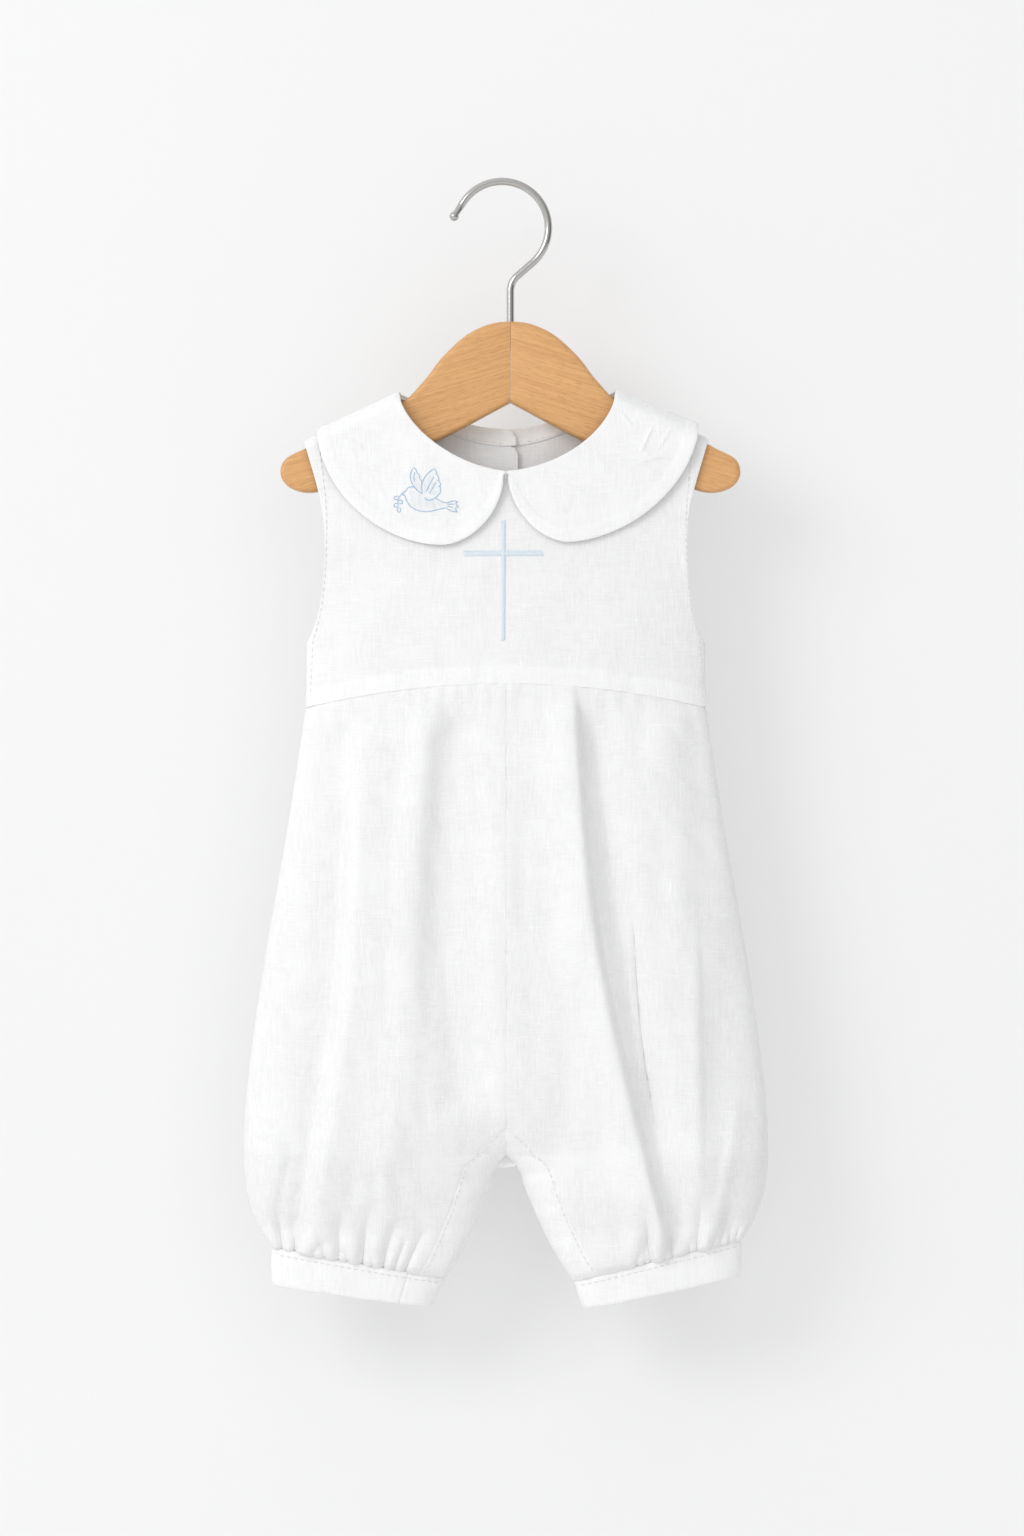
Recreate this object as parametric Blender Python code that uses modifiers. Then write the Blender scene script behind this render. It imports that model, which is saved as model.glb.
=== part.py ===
"""A baby romper of white linen with a flat round collar, on a small wooden hanger.

Metres, +Z up. The romper's front faces -Y, and +X is to the right of someone looking at it.
The origin is the point under the top of the hook where the hook rests on a rail.
Every cloth panel is a grid laid on the garment's inner surface and thickened outwards.
"""

import math
from collections import namedtuple

import bmesh
import bpy
import numpy as np

FRONT, BACK = -1, 1
LEFT, RIGHT = -1, 1

# Cloth
WALL = 0.0012  # one panel, with its seam allowances
BINDING_WALL = 0.0010
CUFF_WALL = 0.0018  # a cuff is folded double
SEAM_GAP = 0.0003
GARMENT_X = 0.0020  # the romper hangs this far to the right of the hook's top

# Shoulders, which lie on the hanger
SHOULDER_START = 0.0555  # out to here they are level
SHOULDER_HALF = 0.1010
SHOULDER_TOP_Z = {LEFT: -0.1070, RIGHT: -0.1060}
SHOULDER_SLOPE = math.tan(math.radians(26))
SADDLE_HALF = 0.0074  # half the width of the fold over the hanger
SADDLE_DROP = 0.0050  # height of that fold
SADDLE_ENDS = 0.050, 0.100  # how far under the shoulder the cloth leaves that width
ARMHOLE_HUG = 6  # exponent: only the outermost columns follow the armhole's curve

# Neckline: the edge of the yoke, and the top of the binding that stands on it
NECK_HALF = {LEFT: 0.0532, RIGHT: 0.0546}
YOKE_NECK_HALF = {LEFT: 0.0582, RIGHT: 0.0596}
NECK_ROUND = {LEFT: 1.62, RIGHT: 1.75}  # exponents of the front's superellipse
NECK_SAG = 1.3  # exponent of the back's curve, which leaves the shoulders level
YOKE_NECK_Z = {FRONT: -0.1483, BACK: -0.1300}
BINDING_TOP_Z = {FRONT: -0.1444, BACK: -0.1220}
BINDING_GAP = 0.0010  # from the binding to the yoke's edge, which turn differently

# Yoke
SIDE_HALF = 0.0990
YOKE_SEAM_Z = -0.2500
YOKE_SEAM_BOW = 1.19  # the seam falls by this times x squared
CHEST_DEPTH = ((-0.2650, 0.0150), (-0.2000, 0.0125), (-0.1500, 0.0105), (-0.1050, 0.0090))
NECK_STEPS = (0, 0.14, 0.28, 0.42, 0.56, 0.70, 0.82, 0.92, 1)  # of a quarter turn
SHOULDER_STEPS = 0.62, 0.74, 0.84, 0.92, 1  # on across the yoke, from the neck's end at a half
YOKE_ROWS = 0, 0.006, 0.016, 0.034, 0.075, 0.16, 0.30, 0.46, 0.61, 0.71, 0.78, 1
BACK_LAP = {LEFT: 0.042, RIGHT: -0.081}  # where each back yoke ends, across
LAP_EASE = 0.07, 0.14  # the outer back yoke comes down to the common surface here

# Collar
COLLAR_WALL = 0.0012
COLLAR_LAYER = 0.0021  # its underside over the yoke's inner surface
COLLAR_PART = 0.0004  # each half starts this far from the middle
COLLAR_ROUND = {LEFT: 1.85, RIGHT: 1.78}
COLLAR_LOW_X = {LEFT: 0.0320, RIGHT: 0.0300}
COLLAR_SPREAD = {LEFT: 0.0934, RIGHT: 0.0955}
COLLAR_LOW_Z = {FRONT: {LEFT: -0.1806, RIGHT: -0.1791}, BACK: {LEFT: -0.1665, RIGHT: -0.1655}}
COLLAR_RISE = {LEFT: 0.0, RIGHT: 0.0030}  # how far its end stands clear of the shoulder
COLLAR_RISE_FADE = 0.030  # height over which that stand-off dies away
COLLAR_ROLL = 0.0004  # it stands up by this at the neck
COLLAR_LIFT = 0.0014  # and by this at its free edge
COLLAR_SADDLED = 0.25  # share of a turn near the shoulder where it lies flat
COLLAR_OVER_BINDING = 0.0004
COLLAR_START = math.radians(0.6)  # turn of the neck edge where a half begins
COLLAR_FOOT_START = math.radians(-84)  # turn of the outer edge there
COLLAR_CROWDING = 2.2  # rows crowd where the collar folds over the shoulder
COLLAR_OFF_LAP = 0.014, 0.026  # x over which the back collar steps down off the yokes' lap
COLLAR_ROWS = 17
COLLAR_PLACES = 0, 0.06, 0.20, 0.40, 0.60, 0.80, 1  # the second lies where the shoulder starts

# Trousers
CROTCH_SHARE = 0.74  # down the panel, from the yoke seam to the cuff seam
CROTCH_Z = -0.4851
CROTCH_RISE = 0.13  # share of the panel over which the front and back come together
CROTCH_CLEAR = 0.0014  # from the middle plane to the inner surface, at the crotch
CROTCH_FORK = 0.03  # share of the panel over which that clearance opens
BACK_DIP = 0.0040  # the back's placket hangs this much lower at the crotch
BACK_DIP_STARTS = 0.10  # share of the panel above the crotch
BACK_DIP_ENDS = 0.20  # share of the leg below it
INSEAM_FALL = 1.15  # exponent: the inseam drops slowly at first
CUFF_SEAM_INNER = {LEFT: (0.0320, -0.5480), RIGHT: (0.0358, -0.5494)}
CUFF_SEAM_OUTER = {LEFT: (0.1160, -0.5329), RIGHT: (0.1166, -0.5288)}
CUFF_HEM_INNER = {LEFT: (0.0386, -0.5610), RIGHT: (0.0403, -0.5620)}
CUFF_HEM_OUTER = {LEFT: (0.1146, -0.5508), RIGHT: (0.1162, -0.5460)}
CUFF_PULL_STARTS = 0.70  # share of the panel from which each side runs to its own cuff
YOKE_BOW_ENDS = 0.30  # share of the panel over which the rows lose the yoke seam's bow
LEG_ROUND = 0.85  # exponent of the leg's section, under 1 for a fuller one
RELIEF_STARTS = 0.45  # share of the depth at which folds have their full rise
FRONT_PLACES = 16
BACK_PLACES = 12
TRUNK_ROWS = 9
TRUNK_ENDS = 0.006  # share of the panel between the trunk's last row and the bands' first
BAND_ROWS = 3, 7  # above the crotch and below it
BAND_PLACES = 3

Armhole = namedtuple("Armhole", "z x")
ARMHOLE = (
    Armhole(-0.2700, 0.0990),
    Armhole(-0.2300, 0.0990),
    Armhole(-0.2240, 0.0966),
    Armhole(-0.2140, 0.0932),
    Armhole(-0.2000, 0.0910),
    Armhole(-0.1800, 0.0905),
    Armhole(-0.1600, 0.0925),
    Armhole(-0.1284, 0.1010),
)

Level = namedtuple("Level", "share side_x side_z depth leg")
TROUSER_LEVELS = (
    Level(0.00, 0.0990, -0.2617, 0.0150, 0.00),  # seam under the yoke
    Level(0.22, 0.1083, -0.3220, 0.0185, 0.00),
    Level(0.45, 0.1210, -0.3960, 0.0215, 0.00),
    Level(0.64, 0.1287, -0.4550, 0.0225, 0.00),
    Level(0.74, 0.1302, -0.4840, 0.0222, 0.20),  # crotch
    Level(0.83, 0.1283, -0.5040, 0.0200, 0.80),
    Level(0.92, 0.1228, -0.5200, 0.0150, 1.00),
    Level(1.00, 0.1162, -0.5308, 0.0100, 1.00),  # seam above the cuff
)

BandWidth = namedtuple("BandWidth", "share width")
BAND_WIDTHS = (
    BandWidth(0.7015, 0.0018),
    BandWidth(0.7150, 0.0080),
    BandWidth(0.7400, 0.0150),
    BandWidth(0.7900, 0.0185),
    BandWidth(0.8500, 0.0205),
    BandWidth(0.9200, 0.0200),
    BandWidth(1.0000, 0.0180),
)

Inseam = namedtuple("Inseam", "fall x")
INSEAM = (  # from the crotch to the cuff, as shares of the fall and of the cuff's x
    Inseam(0.00, 0.000),
    Inseam(0.08, 0.160),
    Inseam(0.30, 0.320),
    Inseam(0.55, 0.515),
    Inseam(0.85, 0.800),
    Inseam(1.00, 1.000),
)

# A fold is a ridge, or a trough where its rise is negative. x is measured outwards from the middle.
Fold = namedtuple("Fold", "x_top z_top x_mid z_mid x_low z_low rise inner_width outer_width")
FOLDS = {
    (FRONT, LEFT): (
        Fold(0.036, -0.256, 0.048, -0.340, 0.058, -0.500, 0.0026, 0.010, 0.014),
        Fold(0.028, -0.256, 0.032, -0.350, 0.022, -0.470, -0.0030, 0.013, 0.009),
        Fold(0.070, -0.262, 0.076, -0.404, 0.097, -0.540, 0.0024, 0.016, 0.006),
        Fold(0.080, -0.262, 0.087, -0.404, 0.108, -0.540, -0.0030, 0.006, 0.010),
    ),
    (FRONT, RIGHT): (
        Fold(0.032, -0.256, 0.046, -0.374, 0.082, -0.540, 0.0040, 0.018, 0.005),
        Fold(0.043, -0.256, 0.058, -0.374, 0.088, -0.540, -0.0036, 0.006, 0.009),
        Fold(0.080, -0.262, 0.090, -0.400, 0.098, -0.540, 0.0022, 0.012, 0.010),
        Fold(0.020, -0.300, 0.020, -0.400, 0.030, -0.500, -0.0010, 0.012, 0.012),
    ),
    (BACK, LEFT): (
        Fold(0.038, -0.256, 0.046, -0.380, 0.070, -0.540, 0.0028, 0.014, 0.008),
        Fold(0.050, -0.256, 0.060, -0.380, 0.084, -0.540, -0.0028, 0.008, 0.012),
        Fold(0.016, -0.270, 0.020, -0.380, 0.030, -0.490, -0.0016, 0.012, 0.012),
    ),
    (BACK, RIGHT): (
        Fold(0.034, -0.256, 0.042, -0.390, 0.064, -0.540, 0.0030, 0.012, 0.010),
        Fold(0.047, -0.256, 0.056, -0.390, 0.078, -0.540, -0.0026, 0.008, 0.012),
        Fold(0.082, -0.270, 0.092, -0.400, 0.100, -0.530, 0.0018, 0.010, 0.010),
    ),
}
FOLD_FADE = 0.020  # length over which a fold starts and ends
GATHER_RISE = 0.0016  # the cloth gathered into the cuff
GATHER_WAVES = 5
GATHER_REACH = 0.034
CUFF_GAP = 0.0008  # at the foot of the gathers, which overhang it

# Hanger
HANGER_X = 0.0042
HANGER_HALF_THICKNESS = 0.0055
HANGER_EDGE = 0.0024
HANGER_MITRE_Z = -0.1091
WIRE_RADIUS = 0.0019
HOOK_RADIUS = 0.02325
HOOK_TIP_ANGLE = 147
HOOK_TIP_RUN = 0.0082  # straight, from the arc to the middle of the ball
HOOK_TURN_ANGLE = -49
HOOK_NECK_RADIUS = 0.0100
SHANK_X = 0.0042
SHANK_END_Z = -0.0830
BORE_ENDS_UNDER = 0.0005
BALL_RADIUS = 0.0024
TIP_BALL = ((-0.90, 0.44), (-0.50, 0.87), (0.00, 1.00), (0.50, 0.87), (0.75, 0.70))

OutlinePoint = namedtuple("OutlinePoint", "x z corner")
HANGER_TOP = (
    OutlinePoint(0.0160, -0.0720, False),
    OutlinePoint(0.0320, -0.0842, False),
    OutlinePoint(0.0440, -0.0990, False),
    OutlinePoint(0.0545, -0.1093, False),
    OutlinePoint(0.0690, -0.1155, False),
    OutlinePoint(0.1010, -0.1311, False),
    OutlinePoint(0.1150, -0.1420, False),
    OutlinePoint(0.1090, -0.1524, False),
    OutlinePoint(0.0750, -0.1452, False),
    OutlinePoint(0.0380, -0.1290, False),
)
HANGER_CROWN_Z = -0.0686
HALF_CUTTER_SIZE = 0.30

# Back buttons
BUTTON_RADIUS = 0.0050
BUTTON_THICK = 0.0022
BUTTON_RIM = 0.0007
BUTTON_DISH = 0.0007
BUTTON_X = -0.0030
BUTTON_ZS = (-0.1780, -0.2060, -0.2340)

FINISHES = {
    "linen": ((0.90, 0.89, 0.87), 0.9, 0.0),
    "beech": ((0.60, 0.34, 0.14), 0.45, 0.0),
    "steel": ((0.70, 0.69, 0.67), 0.25, 1.0),
    "shell": ((0.90, 0.88, 0.84), 0.25, 0.0),
}


# ---------------------------------------------------------------- numbers


def ease(start, end, x):
    """0 before start, 1 after end, and smooth between."""
    s = np.clip((x - start) / (end - start), 0, 1)
    return s * s * (3 - 2 * s)


def mix(a, b, share):
    return a + (b - a) * share


def signed_power(x, exponent):
    return np.sign(x) * np.abs(x) ** exponent


def through(xs, ys, x):
    """A smooth curve through the points (xs, ys) that never overshoots them, read at x."""
    xs, ys = np.asarray(xs, float), np.asarray(ys, float)
    step = np.diff(xs)
    slope = np.diff(ys) / step
    tangent = np.concatenate([slope[:1], (slope[:-1] + slope[1:]) / 2, slope[-1:]])
    limit = 3 * np.minimum(np.abs(slope[:-1]), np.abs(slope[1:]))
    inner = np.clip(tangent[1:-1], -limit, limit)
    tangent[1:-1] = np.where(slope[:-1] * slope[1:] > 0, inner, 0)
    i = np.clip(np.searchsorted(xs, x, side="right") - 1, 0, len(xs) - 2)
    s = np.clip((x - xs[i]) / step[i], 0, 1)
    rise = ys[i] * (2 * s**3 - 3 * s**2 + 1) + ys[i + 1] * (3 * s**2 - 2 * s**3)
    return rise + step[i] * (tangent[i] * (s**3 - 2 * s**2 + s) + tangent[i + 1] * (s**3 - s**2))


def column(table, key, name, x):
    """A table's column, read smoothly against its key column."""
    return through([getattr(r, key) for r in table], [getattr(r, name) for r in table], x)


# ---------------------------------------------------------------- the garment's inner surface


def per_side(table, x):
    return np.where(np.asarray(x) < 0, table[LEFT], table[RIGHT])


def shoulder_z(x, layer=0.0):
    """Height of the shoulder line, which is level out to where the neck ends."""
    top = per_side(SHOULDER_TOP_Z, x) + layer
    return top - SHOULDER_SLOPE * np.maximum(np.abs(x) - SHOULDER_START, 0)


def chest_y(x, z, layer=0.0):
    """How far the yoke stands from the middle plane: over the hanger above, an ellipse below."""
    drop = np.maximum(shoulder_z(x, layer) - z, 0)
    inward = np.maximum(per_side(NECK_HALF, x) - np.abs(x), 0)
    rise = np.clip(1 - (drop + inward) / (SADDLE_DROP + layer), 0, 1)
    saddle = (SADDLE_HALF + layer) * np.sqrt(1 - rise**2) * (1 - ease(*SADDLE_ENDS, drop))
    depths = np.array(CHEST_DEPTH)
    depth = through(depths[:, 0], depths[:, 1], z) + layer
    side = np.clip(np.abs(x) / (SIDE_HALF + layer), 0, 1)
    chest = depth * np.sqrt(1 - side**2) * ease(-0.001, SADDLE_DROP, drop)
    return (saddle**4 + chest**4) ** 0.25


def yoke_seam_z(x):
    return YOKE_SEAM_Z - YOKE_SEAM_BOW * x**2


def neck_curve(face, angle, halves, low, layer=0.0):
    """(x, z) of a neckline: angle 0 at its low middle and 90 degrees on the shoulders."""
    half = per_side(halves, angle)
    top = shoulder_z(np.sign(angle) * half, layer)
    power = 2 / per_side(NECK_ROUND, angle)
    across = signed_power(np.sin(angle), power)
    if face == FRONT:
        fall = np.abs(np.cos(angle)) ** power
    else:
        fall = np.clip(1 - across**2, 0, 1) ** NECK_SAG
    return half * across, top - (top - low) * fall


def yoke_point(face, across, down, layer=0.0):
    """across is -1 to 1 from side to side, with the neckline's ends at a half. down is 0 to 1."""
    sign = np.sign(across)
    on_neck = np.abs(across) <= 0.5
    angle = np.clip(across / 0.5, -1, 1) * math.pi / 2
    neck_x, neck_z = neck_curve(face, angle, YOKE_NECK_HALF, YOKE_NECK_Z[face])
    along = np.clip(np.abs(across) * 2 - 1, 0, 1)
    shoulder_x = sign * mix(per_side(YOKE_NECK_HALF, across), SHOULDER_HALF, along)
    top_x = np.where(on_neck, neck_x, shoulder_x)
    top_z = np.where(on_neck, neck_z, shoulder_z(shoulder_x))
    low_x = SIDE_HALF * np.sin(across * math.pi / 2)
    z = mix(top_z, yoke_seam_z(low_x), down)
    inset = column(ARMHOLE, "z", "x", z) - mix(SHOULDER_HALF, SIDE_HALF, down)
    x = mix(top_x, low_x, down) + sign * inset * np.abs(across) ** ARMHOLE_HUG
    y = chest_y(x, z) + layer * ease(0, SADDLE_DROP, shoulder_z(x) - z)
    return np.stack([x, face * y, z], axis=-1)


def inseam(face, side, share):
    """(x, z) of a trouser panel's inner edge: down the middle, then along the leg."""
    below = np.clip((share - CROTCH_SHARE) / (1 - CROTCH_SHARE), 0, 1)
    fall = below**INSEAM_FALL
    cuff_x, cuff_z = CUFF_SEAM_INNER[side]
    near = ease(CROTCH_SHARE - CROTCH_FORK, CROTCH_SHARE, share) * (1 - below)
    z = mix(YOKE_SEAM_Z, CROTCH_Z, np.clip(share / CROTCH_SHARE, 0, 1)) + (cuff_z - CROTCH_Z) * fall
    if face == BACK:
        above = ease(CROTCH_SHARE - BACK_DIP_STARTS, CROTCH_SHARE, share)
        z = z - BACK_DIP * above * (1 - ease(0, BACK_DIP_ENDS, below))
    return cuff_x * column(INSEAM, "fall", "x", fall) + CROTCH_CLEAR * near, z


def trouser_section(across, share, leg):
    """(share of the width, share of the depth) of a trouser panel, from the middle to the side.

    Down to the crotch the front and back draw together at the middle; below it each is a leg.
    """
    trunk = np.cos(across * math.pi / 2)
    tube = np.abs(np.sin(across * math.pi)) ** LEG_ROUND
    drawn = np.clip((share - CROTCH_SHARE + CROTCH_RISE) / CROTCH_RISE, 0, 1)
    depth = np.sqrt((1 - drawn**2) * trunk**2 + drawn**2 * tube**2)
    width = mix(np.sin(across * math.pi / 2), (1 - np.cos(across * math.pi)) / 2, leg)
    return width, depth


def fold_relief(folds, x, z):
    """How far the folds move the cloth out, at x outwards from the middle."""
    relief = np.zeros_like(x)
    for fold in folds:
        zs = [-fold.z_top, -fold.z_mid, -fold.z_low]
        off = x - through(zs, [fold.x_top, fold.x_mid, fold.x_low], -z)
        width = np.where(off < 0, fold.inner_width, fold.outer_width)
        shown = ease(0, FOLD_FADE, fold.z_top - z) * ease(0, FOLD_FADE, z - fold.z_low)
        relief += fold.rise * shown * np.exp(-((off / width) ** 2))
    return relief


def trouser_point(face, side, across, share):
    """across is 0 at the middle or inseam and 1 at the side seam. share is 0 to 1, downwards."""
    inner_x, inner_z = inseam(face, side, share)
    side_x, side_z, depth, leg = (
        column(TROUSER_LEVELS, "share", name, share)
        for name in ("side_x", "side_z", "depth", "leg")
    )
    cuff_x, cuff_z = CUFF_SEAM_OUTER[side]
    pull = ease(CUFF_PULL_STARTS, 1, share)
    side_x = side_x + (cuff_x - TROUSER_LEVELS[-1].side_x) * pull
    side_z = side_z + (cuff_z - TROUSER_LEVELS[-1].side_z) * pull
    width_share, depth_share = trouser_section(across, share, leg)
    x = mix(inner_x, side_x, width_share)
    bow = mix(2, 1, ease(0, YOKE_BOW_ENDS, share))  # a parabola at the yoke, straight at the cuff
    z = mix(inner_z, side_z, width_share**bow)
    window = ease(0, RELIEF_STARTS, depth_share)
    folds = fold_relief(FOLDS[face, side], x, z)
    over_cuff = (1 - share) * (TROUSER_LEVELS[0].side_z - cuff_z)
    gather = 1 - np.cos(2 * math.pi * GATHER_WAVES * width_share)
    gather *= GATHER_RISE * ease(-GATHER_REACH, 0, -over_cuff)
    y = depth * depth_share + window * (folds + gather)
    return np.stack([side * x, face * y, z], axis=-1)


def band_edge(face, side, share):
    """The place across a trouser panel where its inseam band ends, by the band's width."""
    width = column(BAND_WIDTHS, "share", "width", share)
    tries = np.linspace(0, 0.8, 161)
    line = trouser_point(face, side, tries[:, None], share[None, :])
    run = np.cumsum(np.linalg.norm(np.diff(line, axis=0), axis=2), axis=0)
    return np.array([np.interp(w, run[:, i], tries[1:]) for i, w in enumerate(width)])


def collar_point(face, side, along, out):
    """along is 0 at the middle of the front or back and 1 on the shoulder; out is 0 at the neck."""
    turn = 1 - (1 - along) ** COLLAR_CROWDING
    angle = side * mix(COLLAR_START, math.pi / 2, turn)
    low = BINDING_TOP_Z[face] + COLLAR_OVER_BINDING
    neck_x, neck_z = neck_curve(face, angle, NECK_HALF, low, COLLAR_LAYER)
    edge = mix(COLLAR_FOOT_START, math.pi / 2, turn)
    low_x, spread, rise = COLLAR_LOW_X[side], COLLAR_SPREAD[side], COLLAR_RISE[side]
    reach = np.where(edge < 0, low_x, spread - low_x)
    foot = np.where(edge < 0, low, shoulder_z(side * spread, COLLAR_LAYER) + rise)
    power = 2 / COLLAR_ROUND[side]
    edge_x = low_x + reach * signed_power(np.sin(edge), power)
    edge_z = foot - (foot - COLLAR_LOW_Z[face][side]) * np.abs(np.cos(edge)) ** power
    x = side * (COLLAR_PART + mix(np.abs(neck_x), edge_x, out))
    z = mix(neck_z, edge_z, out)
    rise = rise * np.clip((np.abs(x) - NECK_HALF[side]) / (spread - NECK_HALF[side]), 0, 1)
    rise = rise * (1 - ease(0, COLLAR_RISE_FADE, shoulder_z(x, COLLAR_LAYER) + rise - z))
    under = chest_y(x, z, COLLAR_LAYER + rise)
    if face == BACK:
        under = under + (WALL + SEAM_GAP) * (1 - ease(*COLLAR_OFF_LAP, np.abs(x)))
    free = ease(0, COLLAR_SADDLED, 1 - turn)
    lift = free * (COLLAR_ROLL * (1 - out) ** 2 + COLLAR_LIFT * out**2)
    return np.stack([x, face * (under + lift), z], axis=-1)


# ---------------------------------------------------------------- Blender objects


def material(name):
    colour, roughness, metallic = FINISHES[name]
    made = bpy.data.materials.get(name)
    if made is None:
        made = bpy.data.materials.new(name)
        made.use_nodes = True
        shader = made.node_tree.nodes["Principled BSDF"]
        shader.inputs["Base Color"].default_value = (*colour, 1)
        shader.inputs["Roughness"].default_value = roughness
        shader.inputs["Metallic"].default_value = metallic
    return made


def collection(name, rendered=True):
    made = bpy.data.collections.new(name)
    made.hide_render = not rendered
    bpy.context.scene.collection.children.link(made)
    return made


def add_object(name, data, finish, x=0.0):
    made = bpy.data.objects.new(name, data)
    made.location.x = x
    made.data.materials.append(material(finish))
    bpy.data.collections["baby_romper"].objects.link(made)
    return made


def sewn(points, seams):
    """Draws edges of a grid of points[row, place] back by half the seam gap.

    seams names them out of top and low, the outer rows, and first and last, the outer places.
    """
    points = points.copy()
    half = SEAM_GAP / 2

    def drawn(edge, inside):
        inwards = inside - edge
        return edge + inwards / np.linalg.norm(inwards, axis=1, keepdims=True) * half

    if "first" in seams:
        points[:, 0] = drawn(points[:, 0], points[:, 1])
    if "last" in seams:
        points[:, -1] = drawn(points[:, -1], points[:, -2])
    if "top" in seams:
        points[0] = drawn(points[0], points[1])
    if "low" in seams:
        points[-1] = drawn(points[-1], points[-2])
    return points


def shell(name, bm, wall):
    """The surface in bm, thickened by a wall outwards from the garment's middle plane."""
    bm.normal_update()
    if sum(face.normal.y * face.calc_center_median().y for face in bm.faces) < 0:
        bmesh.ops.reverse_faces(bm, faces=bm.faces[:])
    mesh = bpy.data.meshes.new(name)
    bm.to_mesh(mesh)
    bm.free()
    mesh.shade_smooth()
    made = add_object(name, mesh, "linen", GARMENT_X)
    thickened = made.modifiers.new("Wall", "SOLIDIFY")
    thickened.thickness = wall
    thickened.offset = 1
    thickened.use_quality_normals = True
    return made


def cloth_panel(name, points, seams, wall=WALL):
    """A shell whose inner surface is a grid of points[row, place]."""
    points = sewn(points, seams)
    rows, places = points.shape[:2]
    bm = bmesh.new()
    bmesh.ops.create_grid(bm, x_segments=places - 1, y_segments=rows - 1, size=0.5)
    for vert in bm.verts:
        place = round((vert.co.x + 0.5) * (places - 1))
        row = round((vert.co.y + 0.5) * (rows - 1))
        vert.co = points[row, place]
    return shell(name, bm, wall)


def yoke(name, face, across, seams, outer=False):
    grid_across, grid_down = np.meshgrid(across, YOKE_ROWS)
    lap = (WALL + SEAM_GAP) * (1 - ease(*LAP_EASE, grid_across)) * outer
    return cloth_panel(name, yoke_point(face, grid_across, grid_down, lap), seams)


def neck_binding():
    """A strip on the yoke's neck edge, all round, whose ends lap at the middle of the back."""
    front = np.array(NECK_STEPS) * math.pi / 2
    right = np.concatenate([front, math.pi - front[-2::-1]])
    under = math.pi * (1 + BACK_LAP[LEFT])
    over = math.pi * (1 - BACK_LAP[RIGHT])
    turns = np.concatenate([[-under], -right[:0:-1], right, [over]])
    ease_in = [math.pi * (1 - place) for place in reversed(LAP_EASE)]
    seam_halves = {side: half - BINDING_GAP for side, half in YOKE_NECK_HALF.items()}
    seam_z = {face: z + BINDING_GAP for face, z in YOKE_NECK_Z.items()}
    rims = []
    for halves, low_z in ((NECK_HALF, BINDING_TOP_Z), (seam_halves, seam_z)):
        rim = []
        for turn in turns:
            face = FRONT if abs(turn) <= math.pi / 2 else BACK
            x, z = neck_curve(face, turn, halves, low_z[face])
            lap = (WALL + SEAM_GAP) * float(ease(*ease_in, turn))
            rim.append((float(x), face * (float(chest_y(x, z)) + lap), float(z)))
        rims.append(rim)
    return cloth_panel("neck_binding", np.array(rims), (), BINDING_WALL)


def collar(name, side):
    grid_out, grid_along = np.meshgrid(COLLAR_PLACES, np.linspace(0, 1, COLLAR_ROWS))
    front = collar_point(FRONT, side, grid_along, grid_out)
    back = collar_point(BACK, side, grid_along[:-1][::-1], grid_out[:-1])
    return cloth_panel(name, np.concatenate([front, back]), (), COLLAR_WALL)


def band_rows():
    """Rows down an inseam band, with one on the crotch."""
    fork = np.linspace(BAND_WIDTHS[0].share, CROTCH_SHARE, BAND_ROWS[0] + 1)[:-1]
    return np.concatenate([fork, np.linspace(CROTCH_SHARE, 1, BAND_ROWS[1] + 1)])


def trouser_panel(name, face, side, places):
    trunk = np.linspace(0, BAND_WIDTHS[0].share - TRUNK_ENDS, TRUNK_ROWS)
    start = np.concatenate([np.zeros(TRUNK_ROWS), band_edge(face, side, band_rows())])
    shares = np.concatenate([trunk, band_rows()])
    across = mix(start[:, None], 1, np.linspace(0, 1, places + 1)[None, :])
    points = trouser_point(face, side, across, shares[:, None])
    return cloth_panel(name, points, ("top", "low", "last", "first"))


def inseam_band(name, face, side):
    end = band_edge(face, side, band_rows())
    across = end[:, None] * np.linspace(0, 1, BAND_PLACES + 1)[None, :]
    points = trouser_point(face, side, across, band_rows()[:, None])
    return cloth_panel(name, points, ("top", "low", "last", "first"))


def cuff(name, side):
    """A flattened tube round the leg, under the gathers."""
    bm = bmesh.new()
    bmesh.ops.create_cone(bm, segments=32, radius1=1, radius2=1, depth=1, cap_ends=False)
    for vert in bm.verts:
        down = 0.5 - vert.co.z
        turn = math.atan2(vert.co.y, vert.co.x)
        inner = mix(np.array(CUFF_SEAM_INNER[side]), np.array(CUFF_HEM_INNER[side]), down)
        outer = mix(np.array(CUFF_SEAM_OUTER[side]), np.array(CUFF_HEM_OUTER[side]), down)
        x, z = mix(inner, outer, (1 - math.cos(turn)) / 2)
        depth = TROUSER_LEVELS[-1].depth * abs(math.sin(turn)) ** LEG_ROUND
        vert.co = side * x, math.copysign(depth, math.sin(turn)), z - CUFF_GAP * (1 - down)
    return shell(name, bm, CUFF_WALL)


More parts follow.
